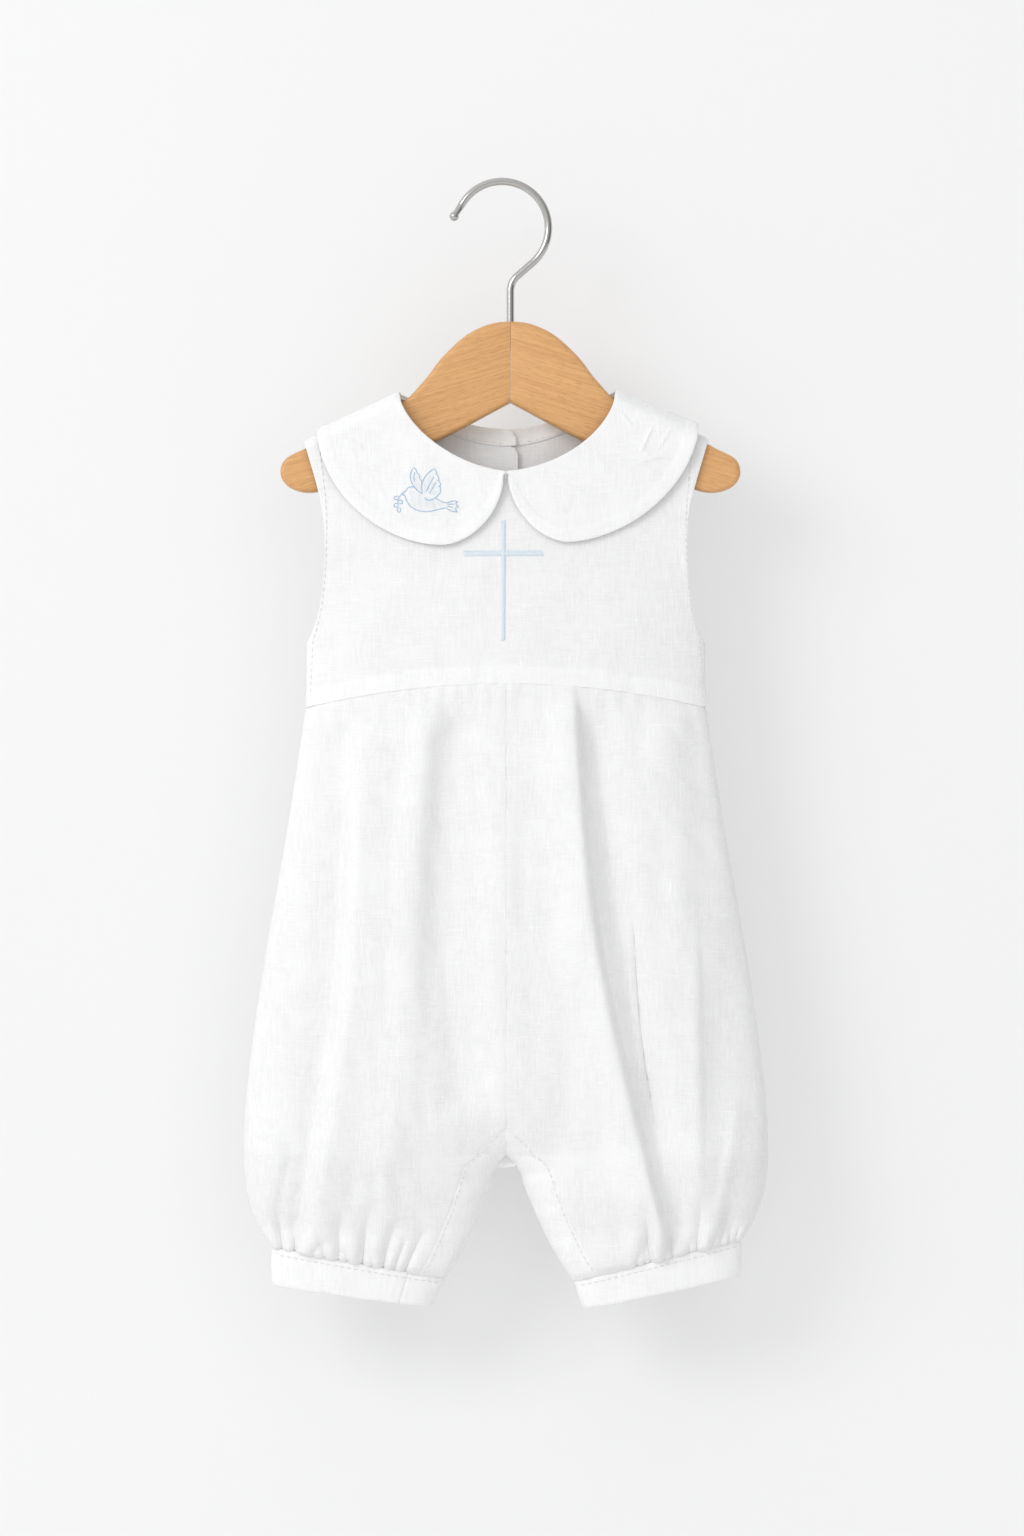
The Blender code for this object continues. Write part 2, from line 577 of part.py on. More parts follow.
def button(name, z):
    """A turned button with a dished face, on the outer back yoke."""
    dish = BUTTON_RADIUS - 3 * BUTTON_RIM
    profile = (
        (0, BUTTON_THICK - BUTTON_DISH),
        (dish - BUTTON_RIM, BUTTON_THICK - BUTTON_DISH),
        (dish, BUTTON_THICK),
        (BUTTON_RADIUS - BUTTON_RIM, BUTTON_THICK),
        (BUTTON_RADIUS, BUTTON_THICK - BUTTON_RIM),
        (BUTTON_RADIUS, BUTTON_RIM),
        (BUTTON_RADIUS - BUTTON_RIM, 0),
        (0, 0),
    )
    mesh = bpy.data.meshes.new(name)
    edges = [(i, i + 1) for i in range(len(profile) - 1)]
    mesh.from_pydata([(r, 0, h) for r, h in profile], edges, [])
    made = add_object(name, mesh, "shell", GARMENT_X + BUTTON_X)
    turned = made.modifiers.new("Turned", "SCREW")
    turned.steps = turned.render_steps = 14
    turned.use_merge_vertices = True
    turned.merge_threshold = 0.00001
    face_y = float(chest_y(BUTTON_X, z)) + 2 * WALL + 2 * SEAM_GAP
    made.location.y = face_y
    made.location.z = z
    made.rotation_euler.x = -math.pi / 2
    return made


def wire_path():
    """(x, z) of the wire's middle line: an arc over the rail, a straight run, a bend, the shank."""
    turns = [math.radians(a) for a in np.linspace(HOOK_TIP_ANGLE, HOOK_TURN_ANGLE, 22)]
    centre_z = WIRE_RADIUS - HOOK_RADIUS
    path = [(HOOK_RADIUS * math.cos(a), centre_z + HOOK_RADIUS * math.sin(a)) for a in turns]
    lean = math.radians(-HOOK_TURN_ANGLE)
    bend_x = SHANK_X + HOOK_NECK_RADIUS
    run_x = bend_x - HOOK_NECK_RADIUS * math.cos(lean) - path[-1][0]
    run_z = run_x / math.tan(lean)
    bend_z = path[-1][1] + run_z - HOOK_NECK_RADIUS * math.sin(lean)
    for a in np.linspace(lean, 0, 6):
        across = bend_x - HOOK_NECK_RADIUS * math.cos(a)
        path.append((across, bend_z + HOOK_NECK_RADIUS * math.sin(a)))
    return [*path, (SHANK_X, SHANK_END_Z)]


def hook():
    """The wire, with a ball at the end of its straight tip."""
    path = wire_path()
    tip = math.radians(HOOK_TIP_ANGLE)
    ball = []
    for along, _ in TIP_BALL:
        run = HOOK_TIP_RUN - along * BALL_RADIUS
        ball.append((path[0][0] - math.sin(tip) * run, path[0][1] + math.cos(tip) * run))
    radii = [swell * BALL_RADIUS / WIRE_RADIUS for _, swell in TIP_BALL] + [1] * len(path)
    data = bpy.data.curves.new("hanger_hook", "CURVE")
    data.dimensions = "3D"
    data.bevel_depth = WIRE_RADIUS
    data.bevel_resolution = 3
    data.use_fill_caps = True
    spline = data.splines.new("POLY")
    spline.points.add(len(radii) - 1)
    for point, (x, z), radius in zip(spline.points, ball + path, radii):
        point.co = x, 0, z, 1
        point.radius = radius
    return add_object("hanger_hook", data, "steel")


def hanger_wood():
    """One beech outline, split in two halves at the mitre, with the bore for the shank."""
    data = bpy.data.curves.new("hanger_outline", "CURVE")
    data.dimensions = "2D"
    data.fill_mode = "BOTH"
    data.extrude = HANGER_HALF_THICKNESS - HANGER_EDGE
    data.bevel_depth = HANGER_EDGE
    data.bevel_resolution = 1
    data.offset = -HANGER_EDGE
    data.resolution_u = 4
    crown = OutlinePoint(0, HANGER_CROWN_Z, False)
    mitre = OutlinePoint(0, HANGER_MITRE_Z, True)
    mirrored = [OutlinePoint(-p.x, p.z, p.corner) for p in reversed(HANGER_TOP)]
    outline = [crown, *HANGER_TOP, mitre, *mirrored]
    spline = data.splines.new("BEZIER")
    spline.bezier_points.add(len(outline) - 1)
    for knot, point in zip(spline.bezier_points, outline):
        knot.co = point.x, point.z, 0
        kind = "VECTOR" if point.corner else "AUTO"
        knot.handle_left_type = knot.handle_right_type = kind
    spline.use_cyclic_u = True
    blank = bpy.data.objects.new("hanger_outline", data)
    bpy.data.collections["baby_romper"].objects.link(blank)
    bpy.context.view_layer.update()
    mesh = bpy.data.meshes.new_from_object(
        blank.evaluated_get(bpy.context.evaluated_depsgraph_get())
    )
    bpy.data.objects.remove(blank)
    bm = bmesh.new()
    bm.from_mesh(mesh)
    bmesh.ops.remove_doubles(bm, verts=bm.verts[:], dist=0.00002)
    bmesh.ops.recalc_face_normals(bm, faces=bm.faces[:])
    bm.to_mesh(mesh)
    bm.free()
    for name, side in (("hanger_arm_left", LEFT), ("hanger_arm_right", RIGHT)):
        half = add_object(name, mesh.copy(), "beech", HANGER_X)
        half.rotation_euler.x = math.pi / 2
        for cutter in (half_cutter(side), bore_cutter()):
            cut = half.modifiers.new("Cut", "BOOLEAN")
            cut.operation = "DIFFERENCE"
            cut.object = cutter
    bpy.data.meshes.remove(mesh)


def add_cutter(name, bm, location):
    mesh = bpy.data.meshes.new(name)
    bm.to_mesh(mesh)
    bm.free()
    made = bpy.data.objects.new(name, mesh)
    made.location = location
    made.hide_render = True
    made.display_type = "WIRE"
    bpy.data.collections["cutters"].objects.link(made)
    return made


def half_cutter(side):
    """A box over the other half of the hanger."""
    bm = bmesh.new()
    bmesh.ops.create_cube(bm, size=HALF_CUTTER_SIZE)
    middle = -side * (HALF_CUTTER_SIZE - SEAM_GAP) / 2
    return add_cutter("other_half", bm, (HANGER_X + middle, 0, HANGER_MITRE_Z))


def bore_cutter():
    """The hole in the wood for the hook's shank."""
    depth = HANGER_CROWN_Z - SHANK_END_Z + BORE_ENDS_UNDER
    bm = bmesh.new()
    radius = WIRE_RADIUS + SEAM_GAP
    bmesh.ops.create_cone(
        bm, segments=16, radius1=radius, radius2=radius, depth=2 * depth, cap_ends=True
    )
    return add_cutter("shank_bore", bm, (SHANK_X, 0, HANGER_CROWN_Z))


def main():
    for old in list(bpy.data.objects):
        bpy.data.objects.remove(old)
    collection("baby_romper")
    collection("cutters", rendered=False)
    hook()
    hanger_wood()
    right = [step / 2 for step in NECK_STEPS] + list(SHOULDER_STEPS)
    left = [-place for place in reversed(right)]
    yoke("yoke_front", FRONT, left[:-1] + right, ("top", "low", "first", "last"))
    under, over = [*left, BACK_LAP[LEFT]], [BACK_LAP[RIGHT], *right]
    yoke("yoke_back_left", BACK, under, ("top", "low", "first"))
    yoke("yoke_back_right", BACK, over, ("top", "low", "last"), outer=True)
    neck_binding()
    for side, word in ((LEFT, "left"), (RIGHT, "right")):
        collar(f"collar_{word}", side)
        trouser_panel(f"trouser_front_{word}", FRONT, side, FRONT_PLACES)
        trouser_panel(f"trouser_back_{word}", BACK, side, BACK_PLACES)
        inseam_band(f"inseam_band_front_{word}", FRONT, side)
        inseam_band(f"inseam_band_back_{word}", BACK, side)
        cuff(f"cuff_{word}", side)
    for number, z in enumerate(BUTTON_ZS, start=1):
        button(f"button_{number}", z)


main()
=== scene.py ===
"""The looks of a white linen baby romper with a flat round collar, on a small wooden hanger.

Metres, +Z up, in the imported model's own frame: the romper's front faces -Y and the origin is
where the hook rests on its rail. Every cloth piece is a thin shell laid on the form of the solid
that it replaces, with folds, gathers, hems and seams worked into its surface.
"""

import math
from collections import namedtuple

import bmesh
import bpy
import numpy as np
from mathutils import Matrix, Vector
from mathutils.bvhtree import BVHTree


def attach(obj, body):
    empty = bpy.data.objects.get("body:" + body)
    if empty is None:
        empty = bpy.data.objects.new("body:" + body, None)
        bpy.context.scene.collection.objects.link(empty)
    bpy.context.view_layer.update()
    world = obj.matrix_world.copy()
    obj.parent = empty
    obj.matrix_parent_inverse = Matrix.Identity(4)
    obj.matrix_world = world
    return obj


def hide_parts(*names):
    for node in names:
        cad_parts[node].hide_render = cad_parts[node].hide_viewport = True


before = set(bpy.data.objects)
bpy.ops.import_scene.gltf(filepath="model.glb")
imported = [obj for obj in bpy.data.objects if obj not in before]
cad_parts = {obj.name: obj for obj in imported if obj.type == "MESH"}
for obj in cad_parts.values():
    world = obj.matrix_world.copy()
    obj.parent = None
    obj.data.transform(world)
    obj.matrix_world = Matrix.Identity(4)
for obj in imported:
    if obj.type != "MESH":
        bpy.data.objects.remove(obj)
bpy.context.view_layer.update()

FRONT, BACK = -1, 1
LEFT, RIGHT = -1, 1
SIDES = ((LEFT, "left"), (RIGHT, "right"))
FACES = ((FRONT, "front"), (BACK, "back"))
INSIDE_BACK = -0.01  # the back's inner side, seen from just behind the front

# ---- the garment's sizes

WALL = 0.0012
CUFF_WALL = 0.0018
SEAM_GAP = 0.0003
GARMENT_X = 0.0020
CLOTH = 0.0007  # the cloth's own thickness
MITRE_SEEN = 0.00008  # gap left between the hanger's arms
SEAM_SINK = 0.00011  # how far a panel's edge dips into its seam
SEAM_REACH = 0.0009  # and over what length
TUCK = 0.0014  # how far a leg's lower edge goes in behind its cuff
TUCK_REACH = 0.0022

SHOULDER_START = 0.0555
SHOULDER_HALF = 0.1010
SHOULDER_TOP_Z = {LEFT: -0.1070, RIGHT: -0.1060}
SHOULDER_SLOPE = math.tan(math.radians(26))
SADDLE_HALF = 0.0074
SADDLE_DROP = 0.0050
SADDLE_ENDS = 0.050, 0.100
ARMHOLE_HUG = 6

NECK_HALF = {LEFT: 0.0532, RIGHT: 0.0546}
YOKE_NECK_HALF = {LEFT: 0.0582, RIGHT: 0.0596}
NECK_ROUND = {LEFT: 1.62, RIGHT: 1.75}
NECK_SAG = 1.3
YOKE_NECK_Z = {FRONT: -0.1483, BACK: -0.1300}
BINDING_TOP_Z = {FRONT: -0.1444, BACK: -0.1220}
BINDING_WALL = 0.0010

SIDE_HALF = 0.0990
YOKE_SEAM_Z = -0.2500
YOKE_SEAM_BOW = 1.19
CHEST_DEPTH = ((-0.2650, 0.0150), (-0.2000, 0.0125), (-0.1500, 0.0105), (-0.1050, 0.0090))
BACK_LAP = {LEFT: 0.042, RIGHT: -0.081}
LAP_EASE = 0.07, 0.14

COLLAR_WALL = 0.0012
COLLAR_LAYER = 0.0021
COLLAR_PART = 0.0004
COLLAR_ROUND = {LEFT: 1.85, RIGHT: 1.78}
COLLAR_LOW_X = {LEFT: 0.0320, RIGHT: 0.0300}
COLLAR_SPREAD = {LEFT: 0.0934, RIGHT: 0.0955}
COLLAR_LOW_Z = {FRONT: {LEFT: -0.1806, RIGHT: -0.1791}, BACK: {LEFT: -0.1665, RIGHT: -0.1655}}
COLLAR_RISE = {LEFT: 0.0, RIGHT: 0.0030}
COLLAR_RISE_FADE = 0.030
COLLAR_ROLL = 0.0004
COLLAR_LIFT = 0.0011
COLLAR_SADDLED = 0.25
COLLAR_OVER_BINDING = 0.0004
COLLAR_START = math.radians(0.6)
COLLAR_FOOT_START = math.radians(-84)
COLLAR_CROWDING = 2.2
COLLAR_OFF_LAP = 0.014, 0.026

CROTCH_SHARE = 0.74
CROTCH_Z = -0.4851
CROTCH_RISE = 0.13
CROTCH_CLEAR = 0.0002
CROTCH_FORK = 0.03
BACK_DIP = 0.0030
BACK_DIP_STARTS = 0.10
BACK_DIP_ENDS = 0.20
INSEAM_FALL = 1.15
CUFF_SEAM_INNER = {LEFT: (0.0320, -0.5480), RIGHT: (0.0358, -0.5494)}
CUFF_SEAM_OUTER = {LEFT: (0.1160, -0.5329), RIGHT: (0.1166, -0.5288)}
CUFF_HEM_INNER = {LEFT: (0.0386, -0.5610), RIGHT: (0.0403, -0.5620)}
CUFF_HEM_OUTER = {LEFT: (0.1146, -0.5508), RIGHT: (0.1162, -0.5460)}
CUFF_PULL_STARTS = 0.70
YOKE_BOW_ENDS = 0.30
LEG_ROUND = 0.85
CROTCH_ROUND = 0.45  # the same, close under the crotch
TIGHT_TURN = 0.75, 0.88
RELIEF_STARTS = 0.45
CUFF_LAP = 0.0004  # how far a cuff comes up over its leg
CUFF_JOIN = {LEFT: (0.0490, 0.0535), RIGHT: (0.0555, 0.0565)}  # x of a cuff's own seam, top and foot

# Curves as pairs: the armhole's x at a z, the width of a band at a share of the trousers' height,
# and how far out the inseam has come, from the crotch at 0 to the cuff at 1
ARMHOLE = (
    (-0.2700, 0.0990), (-0.2300, 0.0990), (-0.2240, 0.0966), (-0.2140, 0.0932),
    (-0.2000, 0.0910), (-0.1800, 0.0905), (-0.1600, 0.0925), (-0.1284, 0.1010),
)
BAND_WIDTHS = (
    (0.7015, 0.0018), (0.7150, 0.0080), (0.7400, 0.0150), (0.7900, 0.0185),
    (0.8500, 0.0205), (0.9200, 0.0200), (1.0000, 0.0180),
)
BANDS_START = BAND_WIDTHS[0][0]
INSEAM = (0, 0), (0.08, 0.160), (0.30, 0.320), (0.55, 0.515), (0.85, 0.800), (1, 1)

Level = namedtuple("Level", "share side_x side_z depth leg")
TROUSER_LEVELS = (
    Level(0.00, 0.0990, -0.2617, 0.0150, 0.00),
    Level(0.22, 0.1083, -0.3220, 0.0185, 0.00),
    Level(0.45, 0.1210, -0.3960, 0.0215, 0.00),
    Level(0.64, 0.1287, -0.4550, 0.0225, 0.00),
    Level(0.74, 0.1302, -0.4840, 0.0222, 0.20),
    Level(0.83, 0.1283, -0.5040, 0.0200, 0.80),
    Level(0.92, 0.1228, -0.5200, 0.0150, 1.00),
    Level(1.00, 0.1162, -0.5308, 0.0100, 1.00),
)

TRUNK_ENDS = 0.006  # how far above its band a trouser's plain middle edge ends
BAND_POINT = 0.06  # of a band's width, at its upper end


def table(kind, *rows):
    """Rows of numbers in millimetres, each made into a tuple of a kind in metres."""
    return tuple(kind(*(value / 1000 for value in row)) for row in rows)


# A fold is a ridge, or a trough where its rise is negative. x is measured outwards from the middle.
Fold = namedtuple("Fold", "x_top z_top x_mid z_mid x_low z_low rise inner_width outer_width")
FOLDS = {
    (FRONT, LEFT): table(
        Fold,
        (36, -256, 48, -340, 58, -500, 2.6, 10, 14),
        (28, -256, 32, -350, 22, -470, -3, 13, 9),
        (70, -262, 76, -404, 97, -540, 2.4, 16, 6),
        (80, -262, 87, -404, 108, -540, -3, 6, 10),
    ),
    (FRONT, RIGHT): table(
        Fold,
        (32, -256, 46, -374, 82, -540, 4, 18, 5),
        (43, -256, 58, -374, 88, -540, -3.6, 6, 9),
        (80, -262, 90, -400, 98, -540, 2.2, 12, 10),
        (20, -300, 20, -400, 30, -500, -1, 12, 12),
    ),
    (BACK, LEFT): table(
        Fold,
        (38, -256, 46, -380, 70, -540, 2.8, 14, 8),
        (50, -256, 60, -380, 84, -540, -2.8, 8, 12),
        (16, -270, 20, -380, 30, -490, -1.6, 12, 12),
    ),
    (BACK, RIGHT): table(
        Fold,
        (34, -256, 42, -390, 64, -540, 3, 12, 10),
        (47, -256, 56, -390, 78, -540, -2.6, 8, 12),
        (82, -270, 92, -400, 100, -530, 1.8, 10, 10),
    ),
}
FOLD_FADE = 0.020

# Finer creases and pressed folds, which the solids leave out
CREASES = {
    (FRONT, LEFT): table(
        Fold,
        (76, -290, 82, -404, 104.5, -545, 1.7, 10, 1.8),
        (79, -290, 85.5, -404, 108, -545, -1.5, 2, 6),
        (37, -248, 44, -340, 48, -470, 1.5, 7, 9),
        (20, -248, 21, -340, 18, -470, -1.6, 11, 11),
        (104, -470, 111, -500, 113, -530, -1.2, 2.4, 3),
        (49, -256, 56, -330, 60, -440, -0.5, 5, 4),
        (14, -290, 12, -360, 16, -430, -0.4, 5, 6),
        (76, -480, 78, -510, 82, -536, -0.9, 4, 6),
        (62, -470, 60, -505, 60, -538, 0.8, 5, 4),
    ),
    (FRONT, RIGHT): table(
        Fold,
        (32, -246, 43, -374, 83, -548, 2.6, 11, 1.6),
        (35.5, -246, 47, -374, 86.5, -548, -2.2, 1.8, 8),
        (63, -360, 68, -430, 75, -475, -2, 0.9, 1.3),
        (94, -360, 95.5, -440, 96, -510, 1, 4, 2.2),
        (118, -450, 111, -485, 103, -532, 1.1, 3, 4),
        (78, -470, 84, -505, 86, -534, -1, 2.2, 4),
        (28, -256, 31, -275, 40, -310, -0.7, 5, 3),
        (8, -300, 10, -370, 18, -450, -0.4, 6, 5),
    ),
    (BACK, LEFT): table(
        Fold,
        (60, -330, 70, -430, 84, -525, -0.9, 1.6, 3),
        (94, -400, 99, -460, 104, -530, 0.9, 4, 3),
        (26, -280, 28, -340, 36, -420, -0.5, 5, 5),
    ),
    (BACK, RIGHT): table(
        Fold,
        (54, -300, 66, -410, 80, -500, -0.9, 1.8, 3.2),
        (108, -420, 106, -470, 100, -532, 1, 3.6, 3.6),
        (18, -270, 20, -350, 28, -440, -0.5, 5, 6),
    ),
}

# A pressed crease is a fine straight ridge or groove
Crease = namedtuple("Crease", "x_start z_start x_end z_end rise width")
COLLAR_CREASES = {
    LEFT: table(
        Crease,
        (-79, -127.5, -70, -134.5, 0.26, 0.8),
        (-74, -140, -81, -125, 0.2, 0.7),
        (-66, -148, -58, -160, 0.2, 0.9),
        (-19, -159, -11, -166, 0.3, 0.7),
        (-30, -171.5, -18, -160, -0.22, 0.9),
    ),
    RIGHT: table(
        Crease,
        (57, -114, 64, -123, 0.3, 0.6),
        (74, -120, 66, -137, 0.38, 0.6),
        (83, -121, 76, -133.5, 0.3, 0.6),
        (60, -142, 85, -134, 0.4, 0.6),
        (66, -129, 72, -139, 0.3, 0.6),
        (43, -133, 52, -148, 0.26, 0.8),
        (25, -148, 45, -160, 0.22, 0.9),
        (36, -156, 29, -168, -0.24, 0.8),
        (71, -145, 78, -142, 0.3, 0.6),
    ),
}

# A gather is a valley that runs up from the cuff's seam. x is measured outwards from the middle.
GATHER_DEEPER = 1.9
GATHER_RIDGE = 0.45  # the cloth stands up beside each valley
GATHER_RIDGE_WIDTH = 2.6  # times the valley's
Gather = namedtuple("Gather", "x lean reach depth width")
GATHERS = {
    (FRONT, LEFT): table(
        Gather,
        (111.5, 4, 34, 3, 1.9), (105, 2, 24, 3.4, 2.2), (97.5, -5, 10, 1.8, 1.5),
        (90.5, 1, 13, 2.2, 1.6), (84, -2, 26, 2.6, 1.9), (78.5, 3, 9, 2.4, 1.3),
        (72, -4, 29, 3, 2), (66.5, 1, 8, 1.8, 1.3), (62, -7, 22, 2.8, 1.8),
        (56.5, -8, 16, 2.2, 1.5), (51.5, -12, 19, 2.4, 1.6),
    ),
    (FRONT, RIGHT): table(
        Gather,
        (64.5, 4, 12, 1.8, 1.5), (69, 1, 20, 2.6, 1.7), (72.5, -3, 30, 3.2, 1.8),
        (78.5, 2, 14, 2, 1.4), (82.5, -2, 23, 2.4, 1.7), (91, 1, 11, 2, 1.4),
        (95, 3, 32, 3, 2), (102, 4, 14, 2.4, 1.5), (106.2, 6, 28, 2.8, 1.8),
        (110.5, 3, 20, 2.6, 1.5), (113.5, 4, 16, 2, 1.3),
    ),
    (BACK, LEFT): table(
        Gather,
        (109, 3, 28, 2.8, 1.9), (101, 1, 16, 2.4, 1.7), (94, -2, 30, 3, 2.1),
        (86.5, 2, 12, 2, 1.5), (79, -3, 24, 2.8, 1.9), (71.5, 2, 14, 2.2, 1.5),
        (65, -4, 27, 2.8, 1.9), (57, -6, 15, 2.2, 1.6),
    ),
    (BACK, RIGHT): table(
        Gather,
        (111, 4, 22, 2.6, 1.8), (104.5, 1, 31, 3, 2), (97, 2, 12, 2, 1.5),
        (90, -2, 25, 2.8, 1.9), (82.5, 3, 17, 2.2, 1.6), (75.5, -2, 29, 3, 2),
        (68, 2, 13, 2.2, 1.5), (61, -5, 22, 2.4, 1.8),
    ),
}
GATHER_LONGER = 1.5
GATHER_SPREAD = 1.6  # how much wider a gather is at its upper end
PUFF = 0.0034  # the cloth blouses by this above the cuff
PUFF_STARTS = 0.005
PUFF_REACH = 0.026
CREASE_FADE = 0.030
SOFT_RISE = 0.0005  # the cloth's own unevenness
MIDDLE_FADE = 0.010  # no fold reaches the middle seam
GATHER_RISE = 0.0016
GATHER_WAVES = 5
GATHER_REACH = 0.034

HANGER_X = 0.0042
HANGER_HALF_THICKNESS = 0.0055
HANGER_EDGE = 0.0024
HANGER_MITRE_Z = -0.1091
HANGER_CROWN_Z = -0.0686
MITRE_BEVEL = 0.00022
WIRE_RADIUS = 0.0019
HOOK_RADIUS = 0.02325
HOOK_TIP_ANGLE = 147
HOOK_TIP_RUN = 0.0082
HOOK_TURN_ANGLE = -49
HOOK_NECK_RADIUS = 0.0100
SHANK_X = 0.0042
SHANK_END_Z = -0.0830
BORE_ENDS_UNDER = 0.0005
BALL_RADIUS = 0.0024
HANGER_TOP = (
    (0.0160, -0.0720),
    (0.0320, -0.0842),
    (0.0440, -0.0990),
    (0.0545, -0.1093),
    (0.0690, -0.1155),
    (0.1010, -0.1311),
    (0.1150, -0.1420),
    (0.1090, -0.1524),
    (0.0750, -0.1452),
    (0.0380, -0.1290),
)

BUTTON_RADIUS = 0.0050
BUTTON_THICK = 0.0022
BUTTON_X = -0.0030
BUTTON_ZS = (-0.1780, -0.2060, -0.2340)

# ---- numbers


def ease(start, end, x):
    """0 before start, 1 after end, and smooth between."""
    s = np.clip((x - start) / (end - start), 0, 1)
    return s * s * (3 - 2 * s)


def mix(a, b, share):
    return a + (b - a) * share


def signed_power(x, exponent):
    return np.sign(x) * np.abs(x) ** exponent


def through(xs, ys, x):
    """A smooth curve through the points (xs, ys) that never overshoots them, read at x."""
    xs, ys = np.asarray(xs, float), np.asarray(ys, float)
    step = np.diff(xs)
    slope = np.diff(ys) / step
    tangent = np.concatenate([slope[:1], (slope[:-1] + slope[1:]) / 2, slope[-1:]])
    limit = 3 * np.minimum(np.abs(slope[:-1]), np.abs(slope[1:]))
    inner = np.clip(tangent[1:-1], -limit, limit)
    tangent[1:-1] = np.where(slope[:-1] * slope[1:] > 0, inner, 0)
    i = np.clip(np.searchsorted(xs, x, side="right") - 1, 0, len(xs) - 2)
    s = np.clip((x - xs[i]) / step[i], 0, 1)
    rise = ys[i] * (2 * s**3 - 3 * s**2 + 1) + ys[i + 1] * (3 * s**2 - 2 * s**3)
    return rise + step[i] * (tangent[i] * (s**3 - 2 * s**2 + s) + tangent[i + 1] * (s**3 - s**2))


def follow(pairs, x):
    """The smooth curve through some pairs, read at x."""
    return through(*zip(*pairs), x)


def waves(x, z, seed, size, count=7):
    """Soft unevenness between about -1 and 1, whose swells are about size across."""
    rng = np.random.default_rng(seed)
    total = np.zeros(np.broadcast(x, z).shape)
    for _ in range(count):
        turn, phase = rng.uniform(0, math.pi), rng.uniform(0, 2 * math.pi)
        length = size * rng.uniform(0.7, 1.8)
        along = x * math.cos(turn) + z * math.sin(turn)
        total += np.sin(2 * math.pi * along / length + phase)
    return total / math.sqrt(count)


# ---- the garment's inner surface


def per_side(table, x):
    return np.where(np.asarray(x) < 0, table[LEFT], table[RIGHT])


def shoulder_z(x, layer=0.0):
    """Height of the shoulder line, which is level out to where the neck ends."""
    top = per_side(SHOULDER_TOP_Z, x) + layer
    return top - SHOULDER_SLOPE * np.maximum(np.abs(x) - SHOULDER_START, 0)


def chest_y(x, z, layer=0.0):
    """How far the yoke stands from the middle plane: over the hanger above, an ellipse below."""
    drop = np.maximum(shoulder_z(x, layer) - z, 0)
    inward = np.maximum(per_side(NECK_HALF, x) - np.abs(x), 0)
    rise = np.clip(1 - (drop + inward) / (SADDLE_DROP + layer), 0, 1)
    saddle = (SADDLE_HALF + layer) * np.sqrt(1 - rise**2) * (1 - ease(*SADDLE_ENDS, drop))
    depth = follow(CHEST_DEPTH, z) + layer
    side = np.clip(np.abs(x) / (SIDE_HALF + layer), 0, 1)
    chest = depth * np.sqrt(1 - side**2) * ease(-0.001, SADDLE_DROP, drop)
    return (saddle**4 + chest**4) ** 0.25


def yoke_seam_z(x):
    return YOKE_SEAM_Z - YOKE_SEAM_BOW * x**2


def neck_curve(face, angle, halves, low, layer=0.0):
    """(x, z) of a neckline: angle 0 at its low middle and 90 degrees on the shoulders."""
    half = per_side(halves, angle)
    top = shoulder_z(np.sign(angle) * half, layer)
    power = 2 / per_side(NECK_ROUND, angle)
    across = signed_power(np.sin(angle), power)
    if face == FRONT:
        fall = np.abs(np.cos(angle)) ** power
    else:
        fall = np.clip(1 - across**2, 0, 1) ** NECK_SAG
    return half * across, top - (top - low) * fall


def yoke_point(face, across, down, layer=0.0):
    """across is -1 to 1 from side to side, with the neckline's ends at a half. down is 0 to 1."""
    sign = np.sign(across)
    on_neck = np.abs(across) <= 0.5
    angle = np.clip(across / 0.5, -1, 1) * math.pi / 2
    neck_x, neck_z = neck_curve(face, angle, YOKE_NECK_HALF, YOKE_NECK_Z[face])
    along = np.clip(np.abs(across) * 2 - 1, 0, 1)
    shoulder_x = sign * mix(per_side(YOKE_NECK_HALF, across), SHOULDER_HALF, along)
    top_x = np.where(on_neck, neck_x, shoulder_x)
    top_z = np.where(on_neck, neck_z, shoulder_z(shoulder_x))
    low_x = SIDE_HALF * np.sin(across * math.pi / 2)
    z = mix(top_z, yoke_seam_z(low_x), down)
    inset = follow(ARMHOLE, z) - mix(SHOULDER_HALF, SIDE_HALF, down)
    x = mix(top_x, low_x, down) + sign * inset * np.abs(across) ** ARMHOLE_HUG
    y = chest_y(x, z) + layer * ease(0, SADDLE_DROP, shoulder_z(x) - z)
    return np.stack([x, face * y, z], axis=-1)


def inseam(face, side, share):
    """(x, z) of a trouser panel's inner edge: down the middle, then along the leg."""
    below = np.clip((share - CROTCH_SHARE) / (1 - CROTCH_SHARE), 0, 1)
    fall = below**INSEAM_FALL
    cuff_x, cuff_z = CUFF_SEAM_INNER[side]
    near = ease(CROTCH_SHARE - CROTCH_FORK, CROTCH_SHARE, share) * (1 - below)
    z = mix(YOKE_SEAM_Z, CROTCH_Z, np.clip(share / CROTCH_SHARE, 0, 1)) + (cuff_z - CROTCH_Z) * fall
    if face == BACK:
        above = ease(CROTCH_SHARE - BACK_DIP_STARTS, CROTCH_SHARE, share)
        z = z - BACK_DIP * above * (1 - ease(0, BACK_DIP_ENDS, below))
    return cuff_x * follow(INSEAM, fall) + CROTCH_CLEAR * near, z


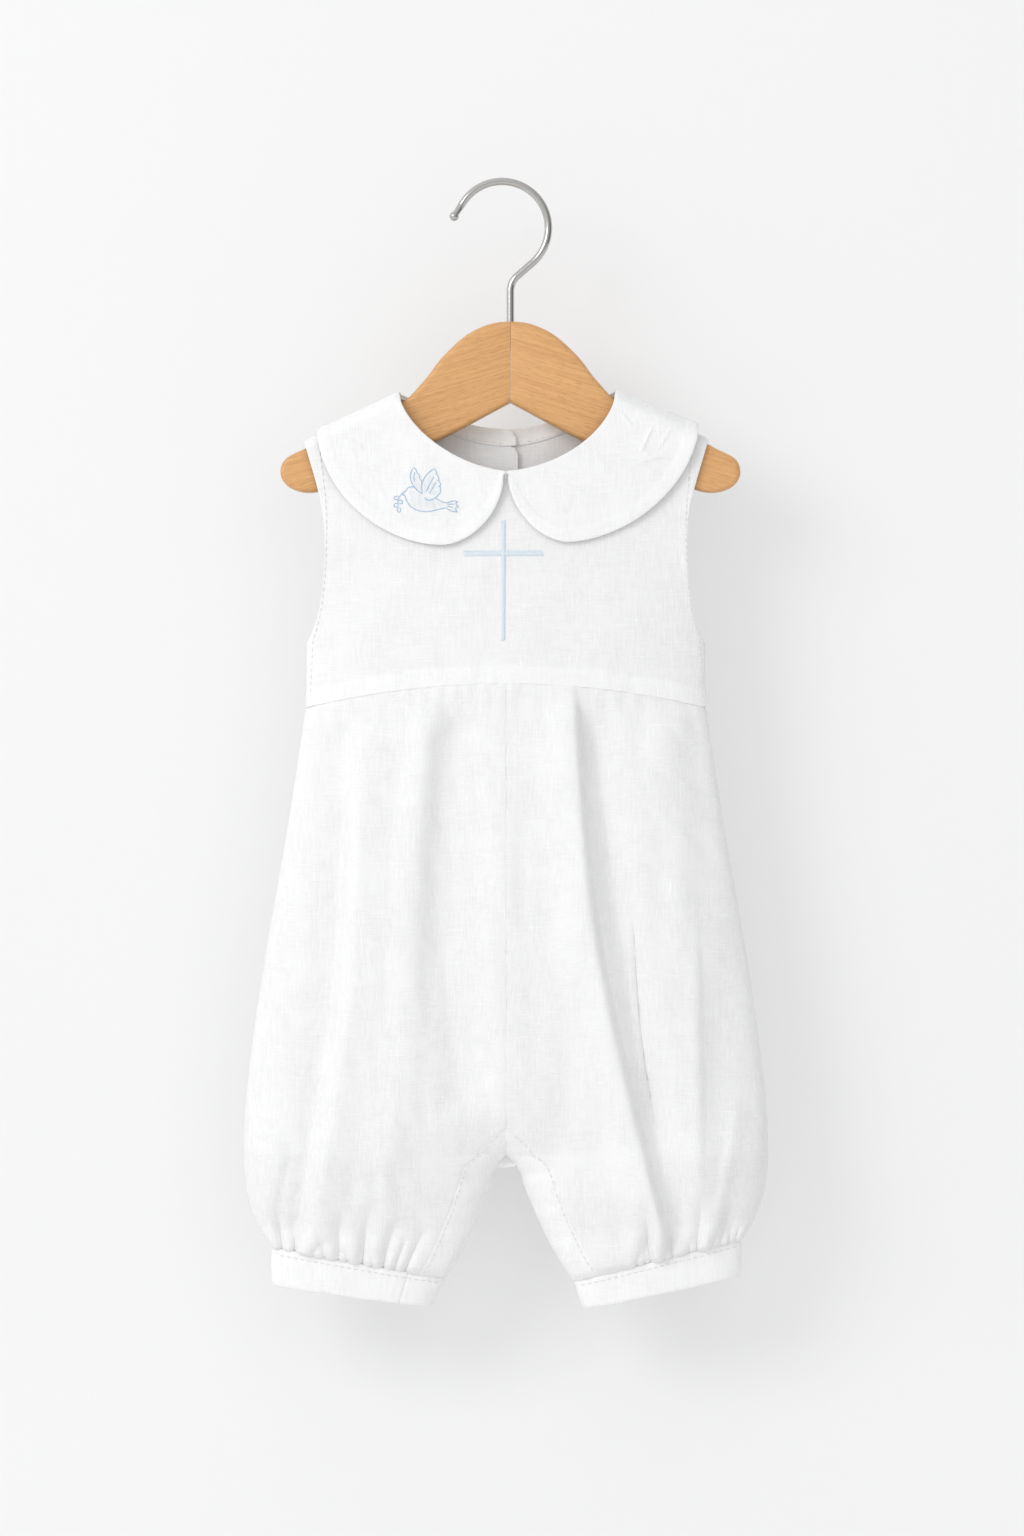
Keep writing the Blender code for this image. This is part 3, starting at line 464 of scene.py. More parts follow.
def trouser_section(across, share, leg, tightest=LEG_ROUND):
    """(share of the width, share of the depth) of a trouser panel, from the middle to the side.

    tightest rounds the leg's inner edge near the crotch: the smaller, the tighter it turns.
    """
    trunk = np.cos(across * math.pi / 2)
    rounding = mix(tightest, LEG_ROUND, ease(*TIGHT_TURN, share))
    rounding = mix(rounding, LEG_ROUND, ease(0.1, 0.5, across))
    tube = np.abs(np.sin(across * math.pi)) ** rounding
    drawn = np.clip((share - CROTCH_SHARE + CROTCH_RISE) / CROTCH_RISE, 0, 1)
    depth = np.sqrt((1 - drawn**2) * trunk**2 + drawn**2 * tube**2)
    width = mix(np.sin(across * math.pi / 2), (1 - np.cos(across * math.pi)) / 2, leg)
    return width, depth


def fold_relief(folds, x, z, fade=FOLD_FADE):
    """How far the folds move the cloth out, at x outwards from the middle."""
    relief = np.zeros_like(x)
    for fold in folds:
        zs = [-fold.z_top, -fold.z_mid, -fold.z_low]
        off = x - through(zs, [fold.x_top, fold.x_mid, fold.x_low], -z)
        width = np.where(off < 0, fold.inner_width, fold.outer_width)
        shown = ease(0, fade, fold.z_top - z) * ease(0, fade, z - fold.z_low)
        relief += fold.rise * shown * np.exp(-((off / width) ** 2))
    return relief


def pressed(creases, x, z):
    """Fine sharp creases: each is a small ridge along a straight line that fades at its ends."""
    relief = np.zeros_like(x)
    for crease in creases:
        start = np.array((crease.x_start, crease.z_start))
        along = np.array((crease.x_end, crease.z_end)) - start
        length = np.linalg.norm(along)
        along = along / length
        at = (x - start[0]) * along[0] + (z - start[1]) * along[1]
        off = (z - start[1]) * along[0] - (x - start[0]) * along[1]
        shown = ease(0, 0.3, at / length) * ease(0, 0.3, 1 - at / length)
        relief += crease.rise * shown * np.exp(-((off / crease.width) ** 2))
    return relief


def gather_relief(gathers, x, above):
    """The valleys gathered into a cuff, at a height above its seam."""
    relief = np.zeros_like(x)
    for gather in gathers:
        up = np.clip(above / gather.reach / GATHER_LONGER, 0, 1)
        off = x - gather.x - gather.lean * up
        width = gather.width * (1 + GATHER_SPREAD * up)
        shown = (1 - up) ** 1.3 * (1 + 1.2 * up)
        valley = np.exp(-((np.abs(off) / width) ** 1.6))
        ridge = np.exp(-((off / width / GATHER_RIDGE_WIDTH) ** 2))
        relief += shown * gather.depth * (GATHER_RIDGE * ridge - GATHER_DEEPER * valley)
    return relief


def levels(share, *names):
    """Columns of the trousers' levels, read at a share of their height."""
    columns = [[(level.share, getattr(level, name)) for level in TROUSER_LEVELS] for name in names]
    return [follow(pairs, share) for pairs in columns]


def trouser_place(face, side, across, share):
    """(x, z) of a trouser panel, x outwards from the middle."""
    inner_x, inner_z = inseam(face, side, share)
    side_x, side_z, leg = levels(share, "side_x", "side_z", "leg")
    cuff_x, cuff_z = CUFF_SEAM_OUTER[side]
    pull = ease(CUFF_PULL_STARTS, 1, share)
    side_x = side_x + (cuff_x - TROUSER_LEVELS[-1].side_x) * pull
    side_z = side_z + (cuff_z - TROUSER_LEVELS[-1].side_z) * pull
    width_share, _ = trouser_section(across, share, leg)
    bow = mix(2, 1, ease(0, YOKE_BOW_ENDS, share))
    return mix(inner_x, side_x, width_share), mix(inner_z, side_z, width_share**bow)


def above_cuff(side, share):
    return (1 - share) * (TROUSER_LEVELS[0].side_z - CUFF_SEAM_OUTER[side][1])


def panel_y(across, share, tightest, relief):
    """A trouser panel's distance from the middle plane, with a relief that fades at its edges."""
    depth, leg = levels(share, "depth", "leg")
    _, depth_share = trouser_section(across, share, leg, tightest)
    return depth * depth_share + ease(0, RELIEF_STARTS, depth_share) * relief


def trouser_point(face, side, across, share):
    """across is 0 at the middle or inseam and 1 at the side seam. share is 0 to 1, downwards."""
    x, z = trouser_place(face, side, across, share)
    above = above_cuff(side, share)
    folds = fold_relief(FOLDS[face, side], x, z)
    folds = folds + fold_relief(CREASES[face, side], x, z, CREASE_FADE)
    gathers = gather_relief(GATHERS[face, side], x, above)
    blouse = PUFF * ease(0, PUFF_STARTS, above) * (1 - ease(PUFF_STARTS, PUFF_REACH, above))
    seed = 10 + 2 * face + side
    soft = SOFT_RISE * waves(x, z * 0.45, seed, 0.030)
    soft = soft + SOFT_RISE / 3 * waves(x, z * 0.8, seed + 20, 0.011)
    soft = soft * ease(0, 0.05, share) * ease(0, 0.03, above)
    joined = mix(ease(0, MIDDLE_FADE, x), 1, ease(CROTCH_SHARE - CROTCH_FORK, CROTCH_SHARE, share))
    y = panel_y(across, share, CROTCH_ROUND, (folds + soft) * joined + gathers + blouse)
    return np.stack([side * x, face * y, z], axis=-1)


def solid_depth(face, side, across, share):
    """The plain depth of a trouser panel, with the broad folds and an even gather."""
    width_share, _ = trouser_section(across, share, *levels(share, "leg"))
    x, z = trouser_place(face, side, across, share)
    gather = GATHER_RISE * (1 - np.cos(2 * math.pi * GATHER_WAVES * width_share))
    gather = gather * ease(-GATHER_REACH, 0, -above_cuff(side, share))
    return panel_y(across, share, LEG_ROUND, fold_relief(FOLDS[face, side], x, z) + gather)


def band_edge(face, side, share):
    """The place across a trouser panel where its inseam band ends, by the band's width."""
    point = np.clip((share - BANDS_START + TRUNK_ENDS) / TRUNK_ENDS, BAND_POINT, 1)
    width = follow(BAND_WIDTHS, share) * point
    tries = np.linspace(0, 0.8, 161)
    across, down = tries[:, None], share[None, :]
    x, z = trouser_place(face, side, across, down)
    line = np.stack([x, solid_depth(face, side, across, down), z], axis=-1)
    run = np.cumsum(np.linalg.norm(np.diff(line, axis=0), axis=2), axis=0)
    return np.array([np.interp(w, run[:, i], tries[1:]) for i, w in enumerate(width)])


def collar_point(face, side, along, out):
    """along is 0 at the middle of the front or back and 1 on the shoulder; out is 0 at the neck."""
    turn = 1 - (1 - along) ** COLLAR_CROWDING
    angle = side * mix(COLLAR_START, math.pi / 2, turn)
    low = BINDING_TOP_Z[face] + COLLAR_OVER_BINDING
    neck_x, neck_z = neck_curve(face, angle, NECK_HALF, low, COLLAR_LAYER)
    edge = mix(COLLAR_FOOT_START, math.pi / 2, turn)
    low_x, spread, rise = COLLAR_LOW_X[side], COLLAR_SPREAD[side], COLLAR_RISE[side]
    reach = np.where(edge < 0, low_x, spread - low_x)
    foot = np.where(edge < 0, low, shoulder_z(side * spread, COLLAR_LAYER) + rise)
    power = 2 / COLLAR_ROUND[side]
    edge_x = low_x + reach * signed_power(np.sin(edge), power)
    edge_z = foot - (foot - COLLAR_LOW_Z[face][side]) * np.abs(np.cos(edge)) ** power
    x = side * (COLLAR_PART + mix(np.abs(neck_x), edge_x, out))
    z = mix(neck_z, edge_z, out)
    rise = rise * np.clip((np.abs(x) - NECK_HALF[side]) / (spread - NECK_HALF[side]), 0, 1)
    rise = rise * (1 - ease(0, COLLAR_RISE_FADE, shoulder_z(x, COLLAR_LAYER) + rise - z))
    under = chest_y(x, z, COLLAR_LAYER + rise)
    if face == BACK:
        under = under + (WALL + SEAM_GAP) * (1 - ease(*COLLAR_OFF_LAP, np.abs(x)))
    free = ease(0, COLLAR_SADDLED, 1 - turn)
    lift = free * (COLLAR_ROLL * (1 - out) ** 2 + COLLAR_LIFT * out**2)
    return np.stack([x, face * (under + lift), z], axis=-1)


# ---- cloth meshes


def unit(vectors):
    return vectors / np.maximum(np.linalg.norm(vectors, axis=-1, keepdims=True), 1e-9)


def runs(points):
    """{edge: each grid point's distance from that edge, along the grid}."""
    down = np.linalg.norm(np.diff(points, axis=0), axis=2)
    across = np.linalg.norm(np.diff(points, axis=1), axis=2)
    top = np.concatenate([np.zeros((1, points.shape[1])), np.cumsum(down, axis=0)])
    first = np.concatenate([np.zeros((points.shape[0], 1)), np.cumsum(across, axis=1)], axis=1)
    return {"top": top, "low": top[-1:] - top, "first": first, "last": first[:, -1:] - first}


def measured(points):
    """(x, z, runs) of a grid."""
    return points[..., 0], points[..., 2], runs(points)


def outwards(points, loop=False):
    """Unit normals of a grid, and 1 if its rows and places turn so that they point out, else -1."""
    down = np.gradient(points, axis=0)
    if loop:
        across = np.roll(points, -1, axis=1) - np.roll(points, 1, axis=1)
    else:
        across = np.gradient(points, axis=1)
    normals = unit(np.cross(across, down))
    sign = 1 if (normals[..., 1] * points[..., 1]).sum() > 0 else -1
    return normals * sign, sign


RIM_TURNS = (45, 90, 135)
SEWN_BULGE = 0.08  # of half a panel's thickness
SHARP = math.radians(50)


def shell(name, points, wall, thick=CLOTH, relief=0.0, loop=False, double_and_painted_light=0.0, bulge=1.0):
    """A thin shell whose outer face lies a wall outside a grid of points[row, place].

    relief lifts the cloth further. The whitening mask is 1 where the cloth is double, and on the neck
    binding it also holds painted light that lifts the shade inside the neck; bulge rounds the rims.
    """
    normals, sign = outwards(points, loop)
    lift = np.broadcast_to(relief, points.shape[:2])[..., None]
    outer = points + normals * (wall + lift)
    under = outer - normals * thick
    outer[..., 0] += GARMENT_X
    under[..., 0] += GARMENT_X
    rows, places = points.shape[:2]
    index = np.arange(rows * places).reshape(rows, places)
    wide = np.concatenate([index, index[:, :1]], axis=1) if loop else index
    corners = wide[:-1, :-1], wide[:-1, 1:], wide[1:, 1:], wide[1:, :-1]
    quads = np.stack(corners, axis=-1).reshape(-1, 4)
    verts = [outer.reshape(-1, 3), under.reshape(-1, 3)]
    faces = [quads, quads[:, ::-1] + rows * places]
    if loop:
        rims = [index[0], index[-1][::-1]]
    else:
        round_edge = index[0], index[1:, -1], index[-1, -2::-1], index[-2:0:-1, 0]
        rims = [np.concatenate(round_edge)]
    count = 2 * rows * places
    for rim in rims:
        high, low = verts[0][rim], verts[1][rim]
        tangent = np.roll(high, -1, axis=0) - np.roll(high, 1, axis=0)
        out = unit(np.cross(tangent, high - low)) * sign
        ring = rim
        for turn in RIM_TURNS:
            angle = math.radians(turn)
            half = (high - low) / 2
            swell = bulge * math.sin(angle) * np.linalg.norm(half, axis=1, keepdims=True)
            verts.append((high + low) / 2 + half * math.cos(angle) + out * swell)
            new = count + np.arange(len(rim))
            faces.append(strip(ring, new))
            ring = new
            count += len(rim)
        faces.append(strip(ring, rim + rows * places))
    faces = np.concatenate(faces)
    if sign < 0:
        faces = faces[:, ::-1]
    verts = np.concatenate(verts)
    made = add_mesh(name, verts, faces.tolist(), LINEN)
    made.data.set_sharp_from_angle(angle=SHARP)
    flat = np.broadcast_to(double_and_painted_light, points.shape[:2]).reshape(-1)
    dense = np.ones(len(verts)) * flat.max()
    dense[: 2 * rows * places] = np.concatenate([flat, flat])
    made.data.attributes.new("double_and_painted_light", "FLOAT", "POINT").data.foreach_set("value", dense)
    return made


def strip(ring, beyond):
    """Quads from one closed ring of vertices to the next."""
    return np.stack([np.roll(ring, -1), ring, beyond, np.roll(beyond, -1)], axis=-1)


def set_all(thing, **values):
    for key, value in values.items():
        setattr(thing, key, value)


def add_object(name, data):
    made = bpy.data.objects.new(name, data)
    bpy.context.scene.collection.objects.link(made)
    return made


def ridden(made, finish):
    """A piece with one finish, riding the part's one body."""
    made.data.materials.clear()
    made.data.materials.append(finish)
    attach(made, "root")
    return made


def add_mesh(name, verts, faces, finish):
    mesh = bpy.data.meshes.new(name)
    mesh.from_pydata(np.asarray(verts).tolist(), [], faces)
    mesh.shade_smooth()
    return ridden(add_object(name, mesh), finish)


def tree_of(obj):
    """A search tree of a piece's faces."""
    mesh = obj.data
    return BVHTree.FromPolygons([v.co for v in mesh.vertices], [p.vertices for p in mesh.polygons])


def on_cloth(tree, face, x, z):
    """(point, normal) where a line along Y from outside meets the cloth at garment x and z."""
    start = Vector((x + GARMENT_X, face * 0.2, z))
    hit, normal, _, _ = tree.ray_cast(start, Vector((0, -np.sign(face), 0)))
    return (None, None) if hit is None else (np.array(hit), np.array(normal))


# ---- threads


def tubes(name, lines, radii, finish, sides=6):
    """Joined tubes, one along each line of points, with a radius for each point of a line."""
    verts, faces, count = [], [], 0
    turns = np.linspace(0, 2 * math.pi, sides, endpoint=False)
    for line, normals in lines:
        line = np.asarray(line)
        tangent = unit(np.gradient(line, axis=0))
        up = unit(np.asarray(normals))
        across = unit(np.cross(tangent, up))
        ring = np.cos(turns)[None, :, None] * across[:, None] + np.sin(turns)[None, :, None] * up[:, None]
        verts.append((line[:, None] + ring * np.asarray(radii)[:, None, None]).reshape(-1, 3))
        index = count + np.arange(len(line) * sides).reshape(len(line), sides)
        for row, after in zip(index[:-1], index[1:]):
            quads = np.stack([row, np.roll(row, -1), np.roll(after, -1), after], axis=-1)
            faces.extend(quads.tolist())
        faces.append(index[0][::-1].tolist())
        faces.append(index[-1].tolist())
        count += len(line) * sides
    return add_mesh(name, np.concatenate(verts), faces, finish)


# ---- materials


class Nodes:
    """A node tree, with short calls that make its nodes and wire them."""

    def __init__(self, tree):
        self.tree = tree

    def feed(self, node, inputs):
        """Gives each input its constant, or the output that it takes."""
        for key, value in inputs.items():
            if isinstance(value, bpy.types.NodeSocket):
                self.tree.links.new(value, node.inputs[key])
            else:
                node.inputs[key].default_value = value

    def add(self, kind, inputs, output=0, **settings):
        """One output of a new node, by its number or name."""
        node = self.tree.nodes.new("ShaderNode" + kind)
        set_all(node, **settings)
        self.feed(node, inputs)
        return node.outputs[output]

    def place(self):
        return self.add("TexCoord", {}, "Object")

    def streaks(self, place, scale, low, high, detail=2.0):
        """Noise stretched by a scale, kept only where it is strong, from 0 to 1."""
        at = self.add("Mapping", {"Vector": place, "Scale": scale})
        noise = {"Vector": at, "Scale": 1.0, "Detail": detail, "Roughness": 0.5}
        span = {"Value": self.add("TexNoise", noise, "Fac"), "From Min": low, "From Max": high}
        return self.add("MapRange", span, interpolation_type="SMOOTHSTEP")

    def arith(self, operation, a, b):
        return self.add("Math", {0: a, 1: b}, operation=operation)

    def blend(self, a, b, share):
        """One colour turning into another. The first may be an output."""
        a = a if isinstance(a, bpy.types.NodeSocket) else (*a, 1)
        return self.add("Mix", {"A": a, "B": (*b, 1), "Factor": share}, "Result", data_type="RGBA")

    def bump(self, height, strength, distance):
        bumped = {"Height": height, "Strength": strength, "Distance": distance}
        return self.add("Bump", bumped, "Normal")


def finish_of(name, build, *values):
    """A material whose shader takes what build(nodes, *values) returns for its inputs."""
    made = bpy.data.materials.new(name)
    made.use_nodes = True
    nodes = Nodes(made.node_tree)
    nodes.feed(made.node_tree.nodes["Principled BSDF"], build(nodes, *values))
    return made


def linen(nodes):
    """Plain-woven linen: threads both ways, with slubs along them, whiter where the cloth is double, and
    on the neck binding also whiter as painted light against the shade inside the neck.
    """
    place, arith = nodes.place(), nodes.arith
    threads = []
    for direction in ("X", "Z"):
        wave = {"Vector": place, "Scale": THREAD_SCALE, "Distortion": 2.2}
        wave |= {"Detail": 1.0, "Detail Scale": 0.5}
        threads.append(nodes.add("TexWave", wave, "Fac", bands_direction=direction))
    weave = arith("MAXIMUM", *threads)
    upright = nodes.streaks(place, (1500, 400, 120), 0.38, 0.64)
    level = nodes.streaks(place, (130, 400, 1500), 0.40, 0.66)
    slub_up = nodes.streaks(place, (1100, 300, 70), 0.62, 0.72)
    slub_level = nodes.streaks(place, (60, 300, 1100), 0.62, 0.73)
    cloudy = nodes.streaks(place, (60, 60, 45), 0.25, 0.75)
    patchy_up = nodes.streaks(place, (90, 60, 40), 0.22, 0.60)
    patchy_level = nodes.streaks(place, (42, 50, 100), 0.25, 0.62)
    upright = arith("MULTIPLY", upright, patchy_up)
    level = arith("MULTIPLY", level, patchy_level)
    fine = arith("ADD", upright, arith("MULTIPLY", level, 0.7))
    slub = arith("MAXIMUM", slub_up, slub_level)
    height = arith("ADD", arith("MULTIPLY", fine, 0.55), weave)
    height = arith("ADD", height, arith("MULTIPLY", slub, 0.9))
    tone = arith("MULTIPLY", fine, 0.36)
    tone = arith("ADD", tone, arith("MULTIPLY", cloudy, 0.09))
    tone = arith("ADD", tone, 0.25)
    tone = arith("SUBTRACT", tone, arith("MULTIPLY", slub, 0.42))
    # Whiter by the mask: doubled cloth, and on the neck binding painted light that lifts the shade inside
    # the neck.
    double_and_painted_light = nodes.add("Attribute", {}, "Fac", attribute_name="double_and_painted_light")
    tone = arith("SUBTRACT", tone, arith("MULTIPLY", double_and_painted_light, 0.40))
    return {
        "Base Color": nodes.blend(LINEN_LIGHT, LINEN_DARK, tone),
        "Normal": nodes.bump(height, 0.42, 0.00020),
        "Roughness": 0.88,
        "Subsurface Weight": 0.15,
        "Subsurface Scale": 0.0010,
        "Subsurface Radius": (1.0, 1.0, 1.0),
        "Sheen Weight": 0.15,
        "Sheen Roughness": 0.5,
        "Specular IOR Level": 0.2,
    }


def wood(nodes, turn):
    """Pale beech whose grain runs at a turn about Y."""
    along = nodes.add("Mapping", {"Vector": nodes.place(), "Rotation": (0, turn, 0)})
    rings = nodes.streaks(along, (24, 240, 1300), 0.24, 0.78, 4.0)
    pores = nodes.streaks(along, (190, 1300, 3900), 0.52, 0.70)
    tint = nodes.add("ValToRGB", {"Fac": rings}, "Color")
    for stop, colour in zip(tint.node.color_ramp.elements, (WOOD_LIGHT, WOOD_DARK)):
        stop.color = (*colour, 1)
    return {
        "Base Color": nodes.blend(tint, WOOD_PORES, nodes.arith("MULTIPLY", pores, 0.60)),
        "Normal": nodes.bump(nodes.arith("SUBTRACT", rings, pores), 0.25, 0.0001),
        "Roughness": 0.42,
    }


def speckled(nodes, colour, other, size, roughness, metallic=0.0, depth=0.0):
    """A finish with fine variation between two colours."""
    fine = nodes.streaks(nodes.place(), (1 / size, 1 / size, 1 / size), 0.35, 0.65)
    made = {"Base Color": nodes.blend(colour, other, fine), "Roughness": roughness, "Metallic": metallic}
    if depth:
        made["Normal"] = nodes.bump(fine, 0.5, depth)
    return made


def thread(name, colour, other, size, roughness):
    return finish_of(name, speckled, colour, other, size, roughness, 0.0, 0.0001)


THREAD_SCALE = 520
LINEN_LIGHT = (0.905, 0.905, 0.902)
LINEN_DARK = (0.800, 0.800, 0.796)
WOOD_LIGHT = (0.725, 0.403, 0.165)
WOOD_DARK = (0.605, 0.312, 0.116)
WOOD_PORES = (0.42, 0.20, 0.07)
STEEL_TONES = (0.56, 0.548, 0.530), (0.50, 0.490, 0.472)
SHELL_TONES = (0.86, 0.84, 0.79), (0.78, 0.76, 0.72)

LINEN = finish_of("linen", linen)
STEEL = finish_of("steel", speckled, *STEEL_TONES, 0.0006, 0.15, 1.0)
SHELL = finish_of("shell", speckled, *SHELL_TONES, 0.003, 0.25)
THREAD = thread("white_thread", (0.86, 0.857, 0.845), (0.74, 0.733, 0.715), 0.0004, 0.7)
WASH = thread("bird_fill_thread", (0.83, 0.885, 0.925), (0.87, 0.91, 0.935), 0.0005, 0.5)
BLUE = thread("blue_thread", (0.33, 0.49, 0.66), (0.44, 0.59, 0.74), 0.0005, 0.45)
PALE_BLUE = thread("pale_blue_thread", (0.69, 0.785, 0.855), (0.77, 0.84, 0.885), 0.0006, 0.4)
GRAIN_LEAN = math.radians(17)
BEECH = {side: finish_of(f"beech_{word}", wood, -side * GRAIN_LEAN) for side, word in SIDES}


# ---- the garment

YOKE_SIZE = 160, 96
TROUSER_SIZE = {FRONT: (176, 220), BACK: (110, 170)}
COLLAR_SIZE = 90, 54
BAND_SIZE = 24, 120
BINDING_SIZE = 300, 10
CUFF_SIZE = 400, 26

ALLOWANCE = 0.00030  # how far a seam allowance inside lifts the cloth
YOKE_ALLOWANCE = 0.0090  # and how wide it is
COLLAR_ALLOWANCE = 0.0065
WAIST_SINK = 5.0  # times the sink of other seams
PUCKER = 0.00016  # of the cloth beside the yoke's seam
PUCKER_SIZE = 0.0075  # from one pucker to the next, about
SIDE_PUCKER = 0.00015  # beside the trousers' middle seam
BAND_PUCKER = 0.00014
YOKE_SOFT = 0.00030  # the cloth's own unevenness
COLLAR_SOFT = 0.00022
EDGE_TURN = 0.0004  # how far a turned edge dips
COLLAR_EDGE_TURN = 0.0003
COLLAR_CREASED = 1.7  # times the rise of its creases
TRUNK_ROWS = 0.58  # of a trouser panel's rows
CUFF_SOFT = 0.00035
LAP_CURL = 0.0012
LAP_CORNER = 0.0014
BINDING_GAP = 0.00012


def near(distance, reach, start=0.0):
    """1 at an edge, and 0 from a reach away."""
    return 1 - ease(start, reach, distance)


def allowance(distance, width, soft):
    """1 over a seam allowance of a width, and 0 beyond it."""
    return near(distance, width + soft, width - soft)


def sunk(run, edges):
    """How far a panel dips into its seams."""
    return sum(-SEAM_SINK * near(run[edge], SEAM_REACH) for edge in edges)


def yoke(name, face, low, high, outer=False):
    count, deep = YOKE_SIZE
    across = np.linspace(low, high, round(count * (high - low) / 2) + 1)
    down = np.linspace(0, 1, deep) ** 1.7
    grid_across, grid_down = np.meshgrid(across, down)
    lap = (WALL + SEAM_GAP) * (1 - ease(*LAP_EASE, grid_across)) * outer
    points = yoke_point(face, grid_across, grid_down, lap)
    if face == BACK and not outer:
        points = curled(points, "last")
    x, z, run = measured(points)
    above = z - yoke_seam_z(x)
    relief = ALLOWANCE * allowance(above, YOKE_ALLOWANCE, 0.0006) + sunk(run, ["low"])
    pucker = PUCKER * waves(x, z * 0.12, 31 + face, PUCKER_SIZE) * near(above, 0.016, 0.004)
    soft = YOKE_SOFT * waves(x, z * 0.6, 41 + face, 0.035) * ease(0.004, 0.03, above)
    relief = relief + (pucker + soft) * ease(0, 0.012, run["top"])
    for edge in ("first", "last"):
        relief = relief - EDGE_TURN * near(run[edge], 0.0010)
    double = allowance(above, YOKE_ALLOWANCE, 0.0004)
    return shell(name, points, WALL, relief=relief, double_and_painted_light=double, bulge=SEWN_BULGE)


def curled(points, edge):
    """The under end of the back opening: it curls inwards, and its upper corner is rounded."""
    run = runs(points)
    points = points.copy()
    points[..., 1] -= LAP_CURL * near(run[edge], 0.010) * near(run["top"], 0.03, 0.004)
    corner = LAP_CORNER * near(run[edge], 0.005) * near(run["top"], 0.005)
    points[..., 0] -= corner
    points[..., 2] -= corner
    return points


def neck_binding():
    """A strip on the yoke's neck edge, all round, whose ends lap at the middle of the back."""
    count, deep = BINDING_SIZE
    turns = np.linspace(-math.pi * (1 + BACK_LAP[LEFT]), math.pi * (1 - BACK_LAP[RIGHT]), count)
    ease_in = [math.pi * (1 - place) for place in reversed(LAP_EASE)]
    halves_low = {side: half - BINDING_GAP for side, half in YOKE_NECK_HALF.items()}
    rims = []
    for halves, shift, lows in (
        (NECK_HALF, 0, BINDING_TOP_Z),
        (halves_low, BINDING_GAP, YOKE_NECK_Z),
    ):
        rim = []
        for turn in turns:
            face = FRONT if abs(turn) <= math.pi / 2 else BACK
            x, z = neck_curve(face, turn, halves, lows[face] + shift)
            lap = (WALL + SEAM_GAP) * float(ease(*ease_in, turn))
            rim.append((float(x), face * (float(chest_y(x, z)) + lap), float(z)))
        rims.append(np.array(rim))
    down = np.linspace(0, 1, deep)[:, None]
    points = curled(mix(rims[0][None], rims[1][None], down[..., None]), "first")
    relief = 0.0003 * np.sin(math.pi * down) - 0.0001
    # The binding is whitened partly for its doubled cloth and partly as painted light, lifting the shade
    # inside the neck.
    return shell("bound_neck", points, BINDING_WALL, 0.0010, relief, double_and_painted_light=0.8)


def collar(name, side):
    count, deep = COLLAR_SIZE
    grid_out, grid_along = np.meshgrid(np.linspace(0, 1, deep), np.linspace(0, 1, count))
    front = collar_point(FRONT, side, grid_along, grid_out)
    back = collar_point(BACK, side, grid_along[:-1][::-1], grid_out[:-1])
    points = np.concatenate([front, back])
    x, z, run = measured(points)
    relief = ALLOWANCE * allowance(run["last"], COLLAR_ALLOWANCE, 0.0005)
    relief = relief + COLLAR_SOFT * waves(x, z, 51 + side, 0.028) * ease(0, 0.01, run["first"])
    relief = relief - COLLAR_EDGE_TURN * near(run["last"], 0.0012)
    relief = relief + COLLAR_CREASED * pressed(COLLAR_CREASES[side], x, z) * (points[..., 1] < 0)
    double = allowance(run["last"], COLLAR_ALLOWANCE, 0.0004)
    return shell(name, points, COLLAR_WALL, relief=relief, double_and_painted_light=0.50 + 0.35 * double)


def band_shares():
    """A band starts in a point, just above its first full width."""
    full = np.linspace(BANDS_START, 1, BAND_SIZE[1] - 1)
    return np.concatenate([[BANDS_START - TRUNK_ENDS], full])


def trouser_panel(name, face, side):
    count, deep = TROUSER_SIZE[face]
    trunk_count = round(deep * TRUNK_ROWS)
    trunk = np.linspace(0, BANDS_START - TRUNK_ENDS, trunk_count)
    leg = mix(BANDS_START, 1, np.sin(np.linspace(0, math.pi / 2, deep - trunk_count)))
    start = np.concatenate([np.zeros(trunk_count), band_edge(face, side, leg)])
    shares = np.concatenate([trunk, leg])
    across = mix(start[:, None], 1, np.linspace(0, 1, count)[None, :])
    points = trouser_point(face, side, across, shares[:, None])
    x, z, run = measured(points * (side, 1, 1))
    relief = sunk(run, ["first"]) + WAIST_SINK * sunk(run, ["top"]) + sunk(run, ["last"]) / 2
    seed = 2 * face + side
    pucker = PUCKER * waves(x, z * 0.12, 61 + seed, PUCKER_SIZE) * near(run["top"], 0.020, 0.003)
    side_pucker = SIDE_PUCKER * waves(x * 0.12, z, 71 + seed, 0.0090) * near(run["first"], 0.012, 0.002)
    relief = relief + pucker + side_pucker - TUCK * near(run["low"], TUCK_REACH)
    return shell(name, points, WALL, relief=relief, bulge=SEWN_BULGE)


def inseam_band(name, face, side):
    shares = band_shares()
    end = band_edge(face, side, shares)
    across = end[:, None] * np.linspace(0, 1, BAND_SIZE[0])[None, :] ** 1.5
    points = trouser_point(face, side, across, shares[:, None])
    x, z, run = measured(points * (side, 1, 1))
    pucker = BAND_PUCKER * waves(x * 0.2, z, 81 + 2 * face + side, 0.0085)
    relief = pucker + sunk(run, ["last"]) - TUCK * near(run["low"], TUCK_REACH)
    return shell(name, points, WALL, relief=relief, double_and_painted_light=0.75, bulge=SEWN_BULGE)


def cuff_ends(side, down):
    """(x, z) of a cuff's inner and outer end, from its seam at 0 to its hem at 1."""
    ends = (CUFF_SEAM_INNER, CUFF_HEM_INNER), (CUFF_SEAM_OUTER, CUFF_HEM_OUTER)
    return [mix(np.array(seam[side]), np.array(hem[side]), down) for seam, hem in ends]


